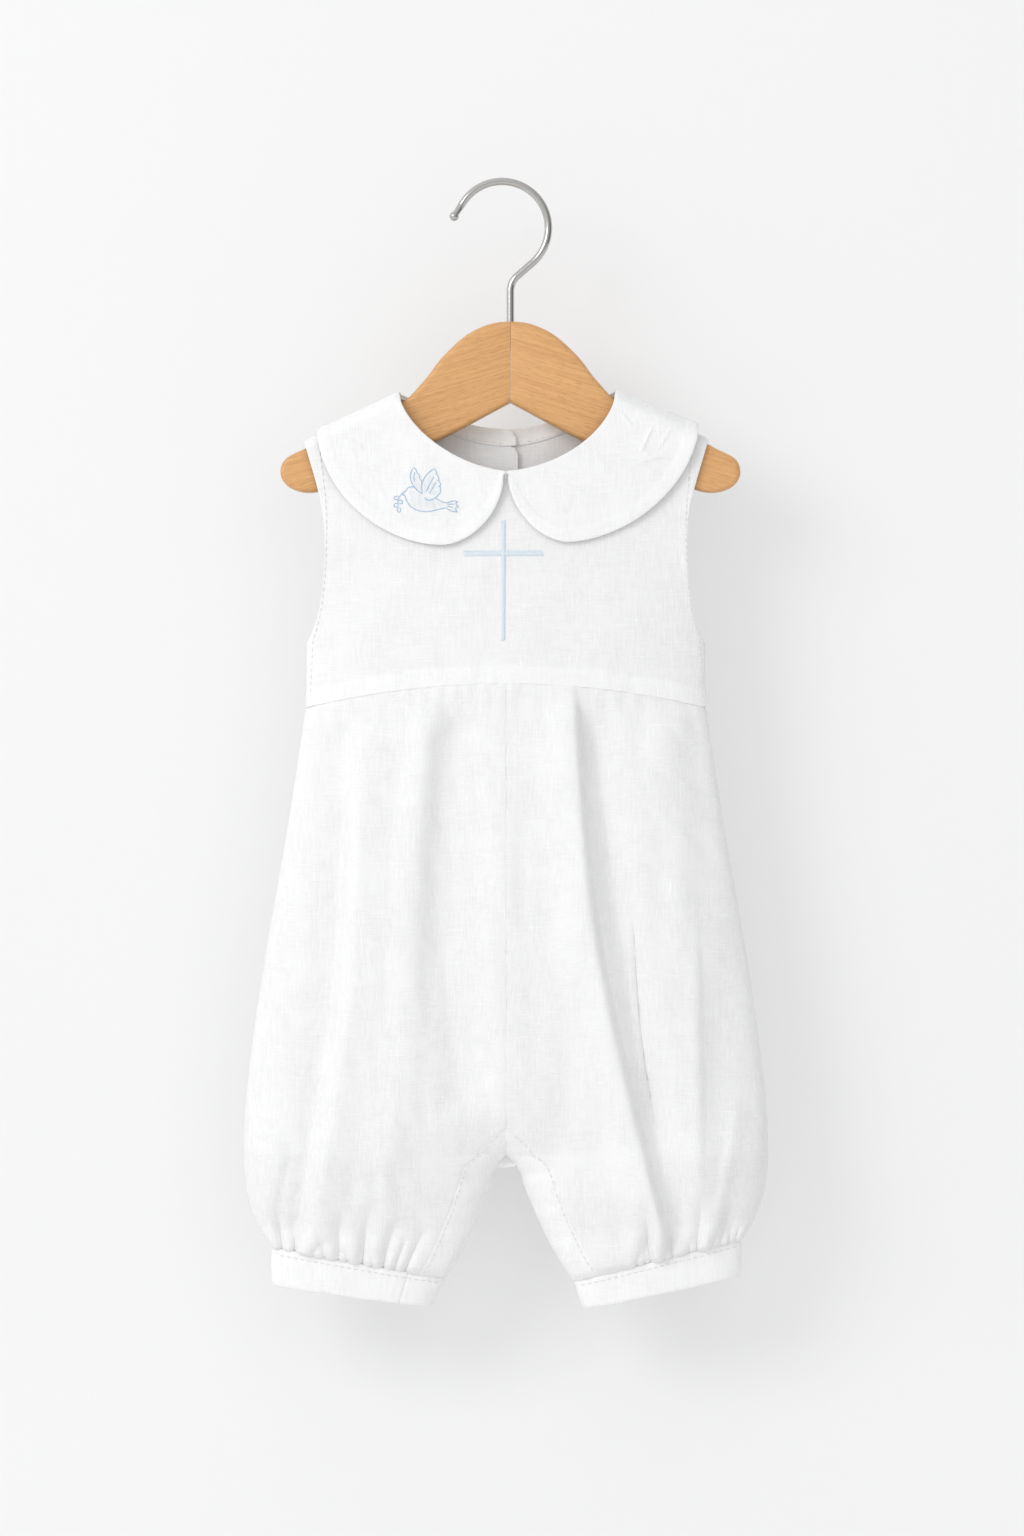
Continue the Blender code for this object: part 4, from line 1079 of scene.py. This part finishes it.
def cuff(name, side):
    """A flattened tube round the leg, under the gathers."""
    turns = np.linspace(0, 2 * math.pi, CUFF_SIZE[0], endpoint=False)
    turn, down = np.meshgrid(turns, np.linspace(0, 1, CUFF_SIZE[1]))
    place = mix(*cuff_ends(side, down[..., None]), (1 - np.cos(turn[..., None])) / 2)
    depth = TROUSER_LEVELS[-1].depth * np.abs(np.sin(turn)) ** LEG_ROUND
    y = np.copysign(depth, np.sin(turn))
    x, z = place[..., 0], place[..., 1] + CUFF_LAP * (1 - down)
    wavy = waves(x, y * 2, 91 + side, 0.022)
    points = np.stack([side * x, y, z + 0.0002 * wavy * down], axis=-1)
    relief = CUFF_SOFT * wavy * ease(0, 0.6, down)
    relief = relief + 0.0003 * waves(x, y * 2, 95 + side, 0.0075) * near(down, 0.5)
    relief = relief - 0.0004 * near(down, 0.08) - 0.0003 * ease(0.94, 1, down)
    off = x - mix(*CUFF_JOIN[side], down)
    joined = 0.00022 * ease(0, 0.0006, off) * near(off, 0.0066, 0.0060)
    relief = relief + (joined - 0.00045 * np.exp(-((off / 0.00055) ** 2))) * (y < 0)
    return shell(name, points, CUFF_WALL, thick=0.0014, relief=relief, loop=True, double_and_painted_light=1)


pieces = {}


def keep(made, slot, *nodes):
    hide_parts(*nodes)
    pieces[made.name] = made
    return made


keep(yoke("front_yoke", FRONT, -1, 1), "linen", "yoke_front")
keep(yoke("back_yoke_left", BACK, -1, BACK_LAP[LEFT]), "linen", "yoke_back_left")
keep(yoke("back_yoke_right", BACK, BACK_LAP[RIGHT], 1, True), "linen", "yoke_back_right")
keep(neck_binding(), "linen", "neck_binding")
for side, word in SIDES:
    keep(collar(f"round_collar_{word}", side), "linen_collar", f"collar_{word}")
    for face, way in FACES:
        node = f"trouser_{way}_{word}"
        keep(trouser_panel(f"{way}_trouser_{word}", face, side), "linen", node)
        node = f"inseam_band_{way}_{word}"
        keep(inseam_band(f"{way}_inseam_band_{word}", face, side), "linen", node)
    keep(cuff(f"gathered_cuff_{word}", side), "linen", f"cuff_{word}")

FACING_X = -0.0013
FACING_HALF = 0.0072
FACING_TOP_Z = -0.4800
FACING_FOOT_Z = -0.4922


def facing():
    """A small flap inside the crotch, sewn to the back bands, whose lower edge peeks out below."""
    across, down = np.meshgrid(np.linspace(-1, 1, 28), np.linspace(0, 1, 22))
    foot = FACING_FOOT_Z + 0.0016 * across**2 + 0.0003 * waves(across, across * 0, 5, 0.9)
    z = mix(FACING_TOP_Z, foot, down)
    x = FACING_X + FACING_HALF * across * mix(0.55, 1, down)
    y = 0.0009 * np.cos(across * 1.3) * down - 0.0016 * down**2
    return shell("crotch_facing", np.stack([x, y, z], axis=-1), 0, 0.0007, double_and_painted_light=0.8)


pieces["crotch_facing"] = facing()

# ---- stitching

STITCH = 0.0024
STITCH_GAP = 0.0010
STITCH_RADIUS = 0.00027
STITCH_SHAPE = ((0.55, -0.6), (1.0, 0.35), (1.0, 0.6), (1.0, 0.35), (0.55, -0.6))
STEM_WIDTHS = 0.6, 1, 1, 0.6
SATIN_PLACES = -1, -0.86, -0.45, 0, 0.45, 0.86, 1  # across a bar
SATIN_WIDTHS = 0.6, 1, 1, 1, 1, 1, 0.6
SATIN_RISE = 0.00042
CUFF_ROW = 0.13  # of a cuff's height, from its seam
BAND_ROW_INSET = 0.0016
ARMHOLE_ROW = 0.915  # of the way from the middle to the edge
OPENING_ROWS = 0.0030, 0.0165
OPENING_ENDS = -0.139, -0.247


def read_at(at, along, path):
    """Points of a path (x, z) at some places along it."""
    return np.stack([np.interp(at, along, path[:, k]) for k in range(2)], axis=1)


def resampled(path, step):
    """Points at even steps along a path of (x, z)."""
    path = np.asarray(path, float)
    along = np.concatenate([[0], np.cumsum(np.linalg.norm(np.diff(path, axis=0), axis=1))])
    return read_at(np.linspace(0, along[-1], max(2, round(along[-1] / step) + 1)), along, path)


def laid(tree, face, path, lifts):
    """(points, normals) of a path of (x, z) on the cloth, each lifted off it, or None."""
    points, normals = [], []
    for (x, z), lift in zip(path, lifts):
        point, normal = on_cloth(tree, face, x, z)
        if point is None:
            return None
        points.append(point + normal * lift)
        normals.append(normal)
    return points, normals


def threads(name, dashes, widths, radius, finish, sides=5):
    """A tube laid on the cloth for each (tree, face, path, lifts) that meets it all along."""
    lines = [line for line in (laid(*dash) for dash in dashes) if line]
    return tubes(name, lines, np.array(widths) * radius, finish, sides)


def stitched(name, rows, finish, length=STITCH, gap=STITCH_GAP, radius=STITCH_RADIUS):
    """Dashed stitching. Each row is (tree, face, path of garment x and z)."""
    dashes = []
    widths, lifts = np.array(STITCH_SHAPE).T
    long = round(8 * length / (length + gap))
    for tree, face, path in rows:
        fine = resampled(path, (length + gap) / 8)
        for start in range(0, len(fine) - long, 8):
            at = np.linspace(start, start + long, len(widths))
            dashes.append((tree, face, read_at(at, range(len(fine)), fine), lifts * radius))
    return threads(name, dashes, widths, radius, finish)


def roped(name, tree, face, paths, finish, length=0.0015, radius=0.00030):
    """Stem stitch: short stitches that overlap along each path, like a fine rope."""
    dashes = []
    for path in paths:
        fine = resampled(path, length / 3)
        for start in range(0, max(len(fine) - 1, 1), 2):
            end = min(start + 3, len(fine) - 1)
            if end <= start:
                continue
            dash = resampled([fine[start], fine[(start + end) // 2], fine[end]], length / 3)[:4]
            side = unit(np.array([fine[end][1] - fine[start][1], fine[start][0] - fine[end][0]]))
            slant = np.linspace(-0.5, 0.5, len(dash))[:, None] * side * radius
            if len(dash) == len(STEM_WIDTHS):
                dashes.append((tree, face, dash + slant, [radius * 0.4] * len(dash)))
    return threads(name, dashes, STEM_WIDTHS, radius, finish, sides=6)


def satin(name, tree, face, bars, finish, pitch=0.00042, radius=0.00025):
    """Bars filled with threads laid side by side across them. A bar is (start, end, width)."""
    dashes = []
    shares = np.array(SATIN_PLACES)
    rng = np.random.default_rng(7)
    for start, end, width in bars:
        start, end = np.array(start), np.array(end)
        along = unit(end - start)
        across = np.array([along[1], -along[0]])
        count = round(np.linalg.norm(end - start) / pitch)
        for step in range(count + 1):
            middle = mix(start, end, step / count)
            half = (width / 2) * rng.uniform(0.93, 1.06)
            slant = along * pitch * 1.2
            dash = middle + shares[:, None] * (across * half + slant)
            rise = np.sqrt(np.clip(1 - shares**2, 0, 1)) * SATIN_RISE * rng.uniform(0.85, 1.1)
            dashes.append((tree, face, dash, rise - radius * 0.3))
    return threads(name, dashes, SATIN_WIDTHS, radius, finish)


def curve_through(points, count=14):
    """A smooth open curve through points."""
    points = np.asarray(points, float)
    ends = np.concatenate([[2 * points[0] - points[1]], points, [2 * points[-1] - points[-2]]])
    s = np.linspace(0, 1, count, endpoint=False)[:, None]
    made = []
    for a, b, c, d in zip(ends, ends[1:], ends[2:], ends[3:]):
        square, cubic = 2 * a - 5 * b + 4 * c - d, 3 * b - a - 3 * c + d
        made.append((2 * b + (c - a) * s + square * s**2 + cubic * s**3) / 2)
    return np.concatenate([*made, points[-1:]])


trees = {name: tree_of(made) for name, made in pieces.items()}
sewn_on = {}


def sew(made, slot, *onto):
    for name in onto:
        sewn_on.setdefault(name, []).append(made)
    return made


# Cuffs: one row under the seam, all round
for side, word in SIDES:
    start, end = cuff_ends(side, CUFF_ROW)
    path = [mix(start, end, share) * (side, 1) for share in np.linspace(0.01, 0.99, 60)]
    name = f"gathered_cuff_{word}"
    rows = [(trees[name], face, path) for face, _ in FACES]
    sew(stitched(f"cuff_stitches_{word}", rows, THREAD), "linen", name)

# Inseam bands: a row along each band's seam
for side, word in SIDES:
    for face, way in FACES:
        shares = band_shares()
        end = band_edge(face, side, shares)
        across = end * (1 - BAND_ROW_INSET / follow(BAND_WIDTHS, shares))
        x, z = trouser_place(face, side, np.clip(across, 0, 1), shares)
        name = f"{way}_inseam_band_{word}"
        path = np.stack([side * x, z], axis=1)[4:-2]
        sew(stitched(f"{way}_band_stitches_{word}", [(trees[name], face, path)], THREAD), "linen", name)

# Armholes: a row beside each edge
for name, face, signs in (
    ("front_yoke", FRONT, (LEFT, RIGHT)),
    ("back_yoke_left", BACK, (LEFT,)),
    ("back_yoke_right", BACK, (RIGHT,)),
):
    rows = []
    for sign in signs:
        across, down = np.full(60, ARMHOLE_ROW * sign), np.linspace(0.06, 0.97, 60)
        path = yoke_point(face, across, down)[:, [0, 2]]
        rows.append((trees[name], face, path))
    sew(stitched(f"{name}_stitches", rows, THREAD), "linen", name)

# The back opening: a row beside the outer edge. The neck: a row on the binding, inside the back
rows = []
for inset in OPENING_ROWS:
    edge_x = yoke_point(BACK, np.array(BACK_LAP[RIGHT]), 0.5)[0]
    path = [(edge_x + inset, z) for z in OPENING_ENDS]
    rows.append((trees["back_yoke_right"], BACK, path))
sew(stitched("opening_stitches", rows, THREAD), "linen", "back_yoke_right")
rows = []
for first, last in ((-0.36, BACK_LAP[LEFT] - 0.03), (BACK_LAP[LEFT] + 0.03, 0.36)):
    angle = np.linspace(first, last, 40) * math.pi
    x, z = neck_curve(BACK, angle, YOKE_NECK_HALF, YOKE_NECK_Z[BACK] + 0.0013)
    rows.append((trees["bound_neck"], INSIDE_BACK, np.stack([x, z], axis=1)))
sew(stitched("binding_stitches", rows, THREAD, radius=0.00022), "linen", "bound_neck")

# The plain cross on the front of the yoke
CROSS_X = -0.00125
CROSS_Z = -0.1851
CROSS_UPRIGHT = (CROSS_X, -0.1690), (CROSS_X - 0.0002, -0.2281), 0.0021
CROSS_LEVEL = (-0.0210, CROSS_Z), (0.0180, CROSS_Z + 0.0002), 0.0027
bars = CROSS_UPRIGHT, CROSS_LEVEL
sew(satin("cross_embroidery", trees["front_yoke"], FRONT, bars, PALE_BLUE), "linen", "front_yoke")

# A small plain dove with a twig, on the left of the collar: strokes in (x, z), about its own middle
BIRD_AT = np.array((-0.0385, -0.1560))
BIRD_SCALE = 0.00098
BIRD = (
    # head and back, then breast and belly
    ((-14, 0.6), (-12, 2), (-10.2, 4), (-7.6, 4), (-5.6, 2.2), (-3.4, 0.6)),
    (
        (-14, 0.6), (-12.2, -0.2), (-11.6, -2.2), (-9.6, -5.4),
        (-5.6, -7.8), (-0.6, -8.4), (4.6, -7.4), (8.6, -6.4),
    ),
    # rump and the tail's three feathers
    ((3.2, -1.4), (6, -3), (8.8, -4), (12, -3), (14.8, -3.2)),
    ((14.8, -3.2), (13.6, -4.6), (15.4, -5.8)),
    ((15.4, -5.8), (13.4, -6.8), (14.6, -8.6)),
    ((14.6, -8.6), (11.6, -8.2), (8.6, -6.4)),
    ((9.4, -4.8), (11.2, -4.6), (13, -4.6)),
    ((9.2, -5.6), (11.2, -6), (13, -6.6)),
    # near wing
    ((-3.4, 0.6), (-3.6, 5.2), (-1.6, 9.8), (2.6, 13.6)),
    ((2.6, 13.6), (4, 11.6), (3.2, 10.2)),
    ((3.8, 10.8), (5.2, 8.6), (4.2, 7.2)),
    ((4.9, 7.8), (6, 5.4), (4.8, 4)),
    ((5.6, 4.6), (6, 1.8), (3.2, -1.4), (0.2, -2.6), (-2.2, -1.8)),
    ((-1.4, 1.6), (0.4, 5.4), (2.6, 9.4)),
    ((0.4, 0.8), (2, 3.8), (3.6, 6.6)),
    # far wing
    ((-5.6, 2.2), (-8.6, 6), (-9.4, 10.2), (-8, 14.2)),
    ((-8, 14.2), (-6.2, 12.6), (-6.4, 11)),
    ((-6.2, 11.6), (-4.6, 9.8), (-5, 8.2)),
    ((-4.8, 8.8), (-3.6, 7), (-3.5, 5.6)),
    ((-7.4, 7), (-7.6, 9.4), (-7.2, 11.6)),
    # eye
    ((-10, 2.3), (-9.6, 2.4)),
)
TWIG = (
    ((-13.8, 0.4), (-15.2, -1.2), (-15.8, -3.6), (-15.2, -6)),
    ((-15.1, -1.2), (-16.8, -0.4), (-17.8, -1.6), (-16.6, -2.4), (-15.5, -2)),
    ((-15.6, -2.8), (-13.9, -2.6), (-13.3, -4), (-14.7, -4.4), (-15.7, -3.6)),
    ((-15.7, -4.2), (-17.4, -4.4), (-17.8, -5.8), (-16.4, -6), (-15.5, -5.2)),
    ((-15.2, -6), (-16.2, -7.4), (-15, -8.8), (-14.2, -7.4), (-15.2, -6)),
)
# Areas filled with a paler thread, with the turn that the stitches take
BODY = (
    (-11, 2.4), (-9, 3.4), (-3.6, 0), (2.6, -2.2), (8.2, -4.6),
    (8, -6), (0, -7.8), (-6, -7.2), (-9.6, -4.4),
)
NEAR_WING = (-3, 0.6), (-3.2, 5), (-1.2, 9.2), (2.6, 12.6), (3.6, 9), (5.2, 4.6), (5.2, 1.4), (2.6, -1)
FAR_WING = (-5.8, 3), (-8.4, 6.4), (-8.8, 10.4), (-7.8, 13.2), (-5.8, 9.8), (-4, 6), (-3.9, 2.4)
FILLS = (BODY, -20), (NEAR_WING, 62), (FAR_WING, 100)
collar_tree = trees["round_collar_left"]
outline = [BIRD_AT + curve_through(stroke) * BIRD_SCALE for stroke in BIRD + TWIG]
bird = roped("bird_embroidery", collar_tree, FRONT, outline, BLUE, radius=0.00021)
sew(bird, "linen_collar", "round_collar_left")


def hatched(area, turn, pitch):
    """Lines at a turn that fill a closed area of (x, z)."""
    area = np.asarray(area, float)
    along = np.array((math.cos(math.radians(turn)), math.sin(math.radians(turn))))
    across = np.array((-along[1], along[0]))
    ends = list(zip(area, np.roll(area, -1, axis=0)))
    offs = area @ across
    rng = np.random.default_rng(11)
    lines = []
    for off in np.arange(offs.min() + pitch, offs.max(), pitch):
        cuts = []
        for a, b in ends:
            low, high = a @ across - off, b @ across - off
            if low * high < 0:
                cuts.append((a + (b - a) * low / (low - high)) @ along)
        for start, end in zip(sorted(cuts)[::2], sorted(cuts)[1::2]):
            start, end = start + rng.uniform(0, 0.5), end - rng.uniform(0, 0.5)
            if end - start > 0.8:
                lines.append([across * off + along * start, across * off + along * end])
    return lines


strokes = [line for area, turn in FILLS for line in hatched(area, turn, 0.42)]
rows = [(collar_tree, FRONT, BIRD_AT + np.asarray(line) * BIRD_SCALE) for line in strokes]
filled = stitched("bird_fill", rows, WASH, length=0.0034, gap=0.0002, radius=0.00012)
sew(filled, "linen_collar", "round_collar_left")


# ---- hanger and buttons


def arc(x, z, radius, turns):
    """Points of an arc about (x, z), at turns in degrees."""
    return [(x + radius * math.cos(t), z + radius * math.sin(t)) for t in np.radians(turns)]


def wire_path():
    """(x, z) of the wire's middle line: an arc over the rail, a straight run, a bend, the shank."""
    turns = np.linspace(HOOK_TIP_ANGLE, HOOK_TURN_ANGLE, 72)
    path = arc(0, WIRE_RADIUS - HOOK_RADIUS, HOOK_RADIUS, turns)
    lean = math.radians(-HOOK_TURN_ANGLE)
    bend_x = SHANK_X + HOOK_NECK_RADIUS
    run_x = bend_x - HOOK_NECK_RADIUS * math.cos(lean) - path[-1][0]
    bend_z = path[-1][1] + run_x / math.tan(lean) - HOOK_NECK_RADIUS * math.sin(lean)
    bend = arc(bend_x, bend_z, HOOK_NECK_RADIUS, 180 - np.linspace(-HOOK_TURN_ANGLE, 0, 20))
    return [*path, *bend, (SHANK_X, SHANK_END_Z)]


def hook():
    """The wire, with a ball at the end of its straight tip."""
    path = wire_path()
    tip = math.radians(HOOK_TIP_ANGLE)
    sweep = np.radians(np.linspace(-84, 48, 16))
    ball = []
    for along in np.sin(sweep):
        run = HOOK_TIP_RUN - along * BALL_RADIUS
        ball.append((path[0][0] - math.sin(tip) * run, path[0][1] + math.cos(tip) * run))
    radii = [*(np.cos(sweep) * BALL_RADIUS / WIRE_RADIUS), *[1] * len(path)]
    data = bpy.data.curves.new("wire_hook", "CURVE")
    set_all(data, dimensions="3D", bevel_depth=WIRE_RADIUS, bevel_resolution=8, use_fill_caps=True)
    spline = data.splines.new("POLY")
    spline.points.add(len(radii) - 1)
    for point, (x, z), radius in zip(spline.points, ball + path, radii):
        set_all(point, co=(x, 0, z, 1), radius=radius)
    spline.use_smooth = True
    return ridden(add_object("wire_hook", data), STEEL)


def evaluated_mesh(obj):
    """A new mesh of what an object looks like with its modifiers."""
    bpy.context.view_layer.update()
    graph = bpy.context.evaluated_depsgraph_get()
    return bpy.data.meshes.new_from_object(obj.evaluated_get(graph))


def add_drill(cutter_bm, place, radius, depth, segments):
    """Adds a closed cylinder along Z to a cutter."""
    size = {"radius1": radius, "radius2": radius, "depth": depth, "segments": segments}
    for vert in bmesh.ops.create_cone(cutter_bm, cap_ends=True, **size)["verts"]:
        vert.co += Vector(place)


def carved(obj, cutter_bm):
    """Takes a closed cutter out of a piece."""
    cutter_mesh = bpy.data.meshes.new("cutter")
    cutter_bm.to_mesh(cutter_mesh)
    cutter_bm.free()
    cutter = add_object("cutter", cutter_mesh)
    cut = obj.modifiers.new("Cut", "BOOLEAN")
    set_all(cut, object=cutter, operation="DIFFERENCE", solver="EXACT")
    mesh = evaluated_mesh(obj)
    obj.modifiers.clear()
    old, obj.data = obj.data, mesh
    bpy.data.meshes.remove(old)
    bpy.data.objects.remove(cutter)


def smoothed(made, finish, sharp):
    """A solid piece with one finish, smooth up to a sharp angle in degrees."""
    ridden(made, finish)
    made.data.shade_smooth()
    made.data.set_sharp_from_angle(angle=math.radians(sharp))
    return made


def hanger_half(name, side, finish):
    """One arm, cut from the whole outline at the mitre, with its share of the shank's bore."""
    data = bpy.data.curves.new("outline", "CURVE")
    set_all(data, dimensions="2D", fill_mode="BOTH", resolution_u=20)
    set_all(data, extrude=HANGER_HALF_THICKNESS - HANGER_EDGE)
    set_all(data, bevel_depth=HANGER_EDGE, bevel_resolution=6, offset=-HANGER_EDGE)
    mirrored = [(-x, z) for x, z in reversed(HANGER_TOP)]
    knots = [(0, HANGER_CROWN_Z), *HANGER_TOP, (0, HANGER_MITRE_Z), *mirrored]
    spline = data.splines.new("BEZIER")
    spline.bezier_points.add(len(knots) - 1)
    for knot, (x, z) in zip(spline.bezier_points, knots):
        kind = "VECTOR" if (x, z) == (0, HANGER_MITRE_Z) else "AUTO"
        set_all(knot, co=(x, z, 0), handle_left_type=kind, handle_right_type=kind)
    spline.use_cyclic_u = True
    blank = add_object("outline", data)
    mesh = evaluated_mesh(blank)
    bpy.data.objects.remove(blank)
    bm = bmesh.new()
    bm.from_mesh(mesh)
    bmesh.ops.remove_doubles(bm, verts=bm.verts[:], dist=0.00001)
    for vert in bm.verts:
        x, z, y = vert.co
        vert.co = x, -y, z
    plane = {"plane_co": (side * MITRE_SEEN / 2, 0, 0), "plane_no": (side, 0, 0)}
    everything = bm.verts[:] + bm.edges[:] + bm.faces[:]
    bmesh.ops.bisect_plane(bm, geom=everything, clear_inner=True, **plane)
    rim = [edge for edge in bm.edges if edge.is_boundary]
    bmesh.ops.holes_fill(bm, edges=rim)
    bmesh.ops.bevel(bm, geom=rim, offset=MITRE_BEVEL, segments=2, affect="EDGES", profile=0.5)
    for vert in bm.verts:
        vert.co.x += HANGER_X
    bmesh.ops.recalc_face_normals(bm, faces=bm.faces[:])
    bm.to_mesh(mesh)
    bm.free()
    mesh.name = name
    made = add_object(name, mesh)
    depth = HANGER_CROWN_Z - SHANK_END_Z + BORE_ENDS_UNDER
    bore = bmesh.new()
    add_drill(bore, (SHANK_X, 0, HANGER_CROWN_Z), WIRE_RADIUS + SEAM_GAP, 2 * depth, 32)
    carved(made, bore)
    return smoothed(made, finish, 35)


def button_profile():
    """(radius, height) of a button's outline, from its dished middle round to its back."""
    lip = 0.0003
    dish = BUTTON_RADIUS - 0.0019
    floor = BUTTON_THICK - 0.0007
    profile = [(0, floor), (dish - 0.0007, floor)]
    profile += arc(dish - lip, BUTTON_THICK - lip, lip, np.linspace(-70, 0, 5))
    middle = BUTTON_THICK / 2
    for turn in np.radians(np.linspace(90, -90, 13)):
        rise = math.sin(turn)
        lift = (middle - BUTTON_RIM) * np.sign(rise) if abs(rise) > 0.01 else 0
        r = BUTTON_RADIUS - BUTTON_RIM + BUTTON_RIM * math.cos(turn)
        profile.append((r, middle + lift + BUTTON_RIM * rise))
    return [*profile, (0, 0)]


BUTTON_RIM = 0.0008
BUTTON_HOLE_RADIUS = 0.00045
DRILL_LENGTH = 0.01
BUTTON_HOLES = [(x, y) for x in (-0.0010, 0.0010) for y in (-0.0010, 0.0010)]
SEWING_APART = 0.00014
SEWING_RADIUS = 0.00016


def button(name, z):
    """A dished button with four holes, sewn on with crossed thread."""
    profile = button_profile()
    turns = np.linspace(0, 2 * math.pi, 56, endpoint=False)
    verts = [(r * math.cos(turn), r * math.sin(turn), h) for r, h in profile for turn in turns]
    index = np.arange(len(verts)).reshape(len(profile), -1)
    after = np.roll(index, -1, axis=1)
    faces = np.stack([index[:-1], after[:-1], after[1:], index[1:]], axis=-1).reshape(-1, 4)
    mesh = bpy.data.meshes.new(name)
    mesh.from_pydata(verts, [], faces.tolist())
    bm = bmesh.new()
    bm.from_mesh(mesh)
    bmesh.ops.remove_doubles(bm, verts=bm.verts[:], dist=0.00001)
    bmesh.ops.recalc_face_normals(bm, faces=bm.faces[:])
    bm.to_mesh(mesh)
    bm.free()
    made = add_object(name, mesh)
    bore = bmesh.new()
    for x, y in BUTTON_HOLES:
        add_drill(bore, (x, y, 0), BUTTON_HOLE_RADIUS, DRILL_LENGTH, 16)
    carved(made, bore)
    base_y = float(chest_y(BUTTON_X, z)) + 2 * WALL + 2 * SEAM_GAP
    for vert in made.data.vertices:
        x, y, h = vert.co
        vert.co = GARMENT_X + BUTTON_X + x, base_y + h, z + y
    smoothed(made, SHELL, 40)
    made.data.flip_normals()
    share = np.linspace(0, 1, 7)
    sag = 0.0004 * np.sin(share * math.pi) - 0.0009 * np.abs(2 * share - 1) ** 8
    lines = []
    for (x0, y0), (x1, y1) in (BUTTON_HOLES[::3], BUTTON_HOLES[1:3]):
        for apart in (-SEWING_APART, SEWING_APART):
            place = (
                GARMENT_X + BUTTON_X + mix(x0, x1, share) + apart,
                base_y + BUTTON_THICK - 0.0006 + sag,
                z + mix(y0, y1, share) + apart * np.sign(x0 - x1) * np.sign(y1 - y0),
            )
            lines.append((np.stack(place, axis=1), [(0, 1, 0)] * 7))
    tubes(f"{name}_thread", lines, [SEWING_RADIUS] * 7, THREAD, sides=6)
    return made


keep(hook(), "hook_wire", "hanger_hook")
for side, word in SIDES:
    arm = hanger_half(f"wooden_arm_{word}", side, BEECH[side])
    keep(arm, "hanger_wood", f"hanger_arm_{word}")
for number, z in enumerate(BUTTON_ZS, start=1):
    keep(button(f"shell_button_{number}", z), "button", f"button_{number}")

# ---- camera, light and stage

CAMERA_LENS = 135
SENSOR = 36
SEEN_HEIGHT = 0.768
SEEN_MIDDLE = 0.0050, -0.2921
GARMENT_FRONT_Y = -0.007

camera = add_object("camera", bpy.data.cameras.new("camera"))
camera.data.lens = CAMERA_LENS
camera.data.sensor_width = SENSOR
away = CAMERA_LENS * SEEN_HEIGHT / SENSOR
camera.location = SEEN_MIDDLE[0], GARMENT_FRONT_Y - away, SEEN_MIDDLE[1]
camera.rotation_euler = math.pi / 2, 0, 0
bpy.context.scene.camera = camera


def area_light(name, place, target, size, power):
    made = add_object(name, bpy.data.lights.new(name, "AREA"))
    set_all(made.data, shape="DISK", size=size, energy=power)
    aim = Vector(target) - Vector(place)
    set_all(made, location=place, rotation_euler=aim.to_track_quat("-Z", "Y").to_euler())
    return made


MIDDLE = (0.0, 0.0, -0.33)
LIT_FROM = Vector((-0.75, -0.35, 0.55)).normalized()
area_light("key", (-1.25, -1.5, 0.6), MIDDLE, 1.1, 13.4)
fill = area_light("fill", (0.8, -1.85, 0.2), MIDDLE, 2.0, 6.5)
fill.visible_glossy = False
area_light("behind", (0.4, 1.8, 0.5), MIDDLE, 1.6, 4)

world = bpy.data.worlds.new("studio")
bpy.context.scene.world = world
world.use_nodes = True
sky = Nodes(world.node_tree)
direction = sky.add("TexCoord", {}, "Generated")
towards = sky.add("VectorMath", {0: direction, 1: LIT_FROM}, "Value", operation="DOT_PRODUCT")
span = {"Value": towards, "From Min": -0.9, "From Max": 0.9, "To Min": 0.12, "To Max": 0.91}
bright = sky.add("MapRange", span, interpolation_type="SMOOTHSTEP")
background = world.node_tree.nodes["Background"]
sky.feed(background, {"Strength": bright, "Color": (0.985, 0.99, 1.0, 1)})
bpy.context.scene.view_settings.view_transform = "Standard"


def pale_wall(nodes):
    """A matt, softly bright wall, whose back is see-through, so that it hides nothing."""
    shader, output = (nodes.tree.nodes[name] for name in ("Principled BSDF", "Material Output"))
    behind = nodes.add("NewGeometry", {}, "Backfacing")
    clear = nodes.add("BsdfTransparent", {})
    either = nodes.add("MixShader", {"Fac": behind, 1: shader.outputs["BSDF"], 2: clear})
    nodes.feed(output, {"Surface": either})
    return {
        "Base Color": (0.545, 0.545, 0.545, 1),
        "Emission Color": (1, 1, 1, 1),
        "Emission Strength": 0.325,
        "Roughness": 0.95,
        "Specular IOR Level": 0.1,
    }


def backdrop():
    """A wall that curves into a floor."""
    wall_y, floor_z, radius, far = 0.058, -0.74, 0.20, 3.0
    curve = arc(wall_y - radius, floor_z + radius, radius, -np.linspace(0, 90, 16))
    profile = [(wall_y, 1.5), *curve, (-far, floor_z)]
    verts = [(x, y, z) for y, z in profile for x in (-far, far)]
    faces = [(2 * i, 2 * i + 2, 2 * i + 3, 2 * i + 1) for i in range(len(profile) - 1)]
    mesh = bpy.data.meshes.new("backdrop")
    mesh.from_pydata(verts, [], faces)
    mesh.shade_smooth()
    mesh.materials.append(finish_of("pale_wall", pale_wall))
    add_object("backdrop", mesh)


backdrop()

bpy.context.view_layer.update()
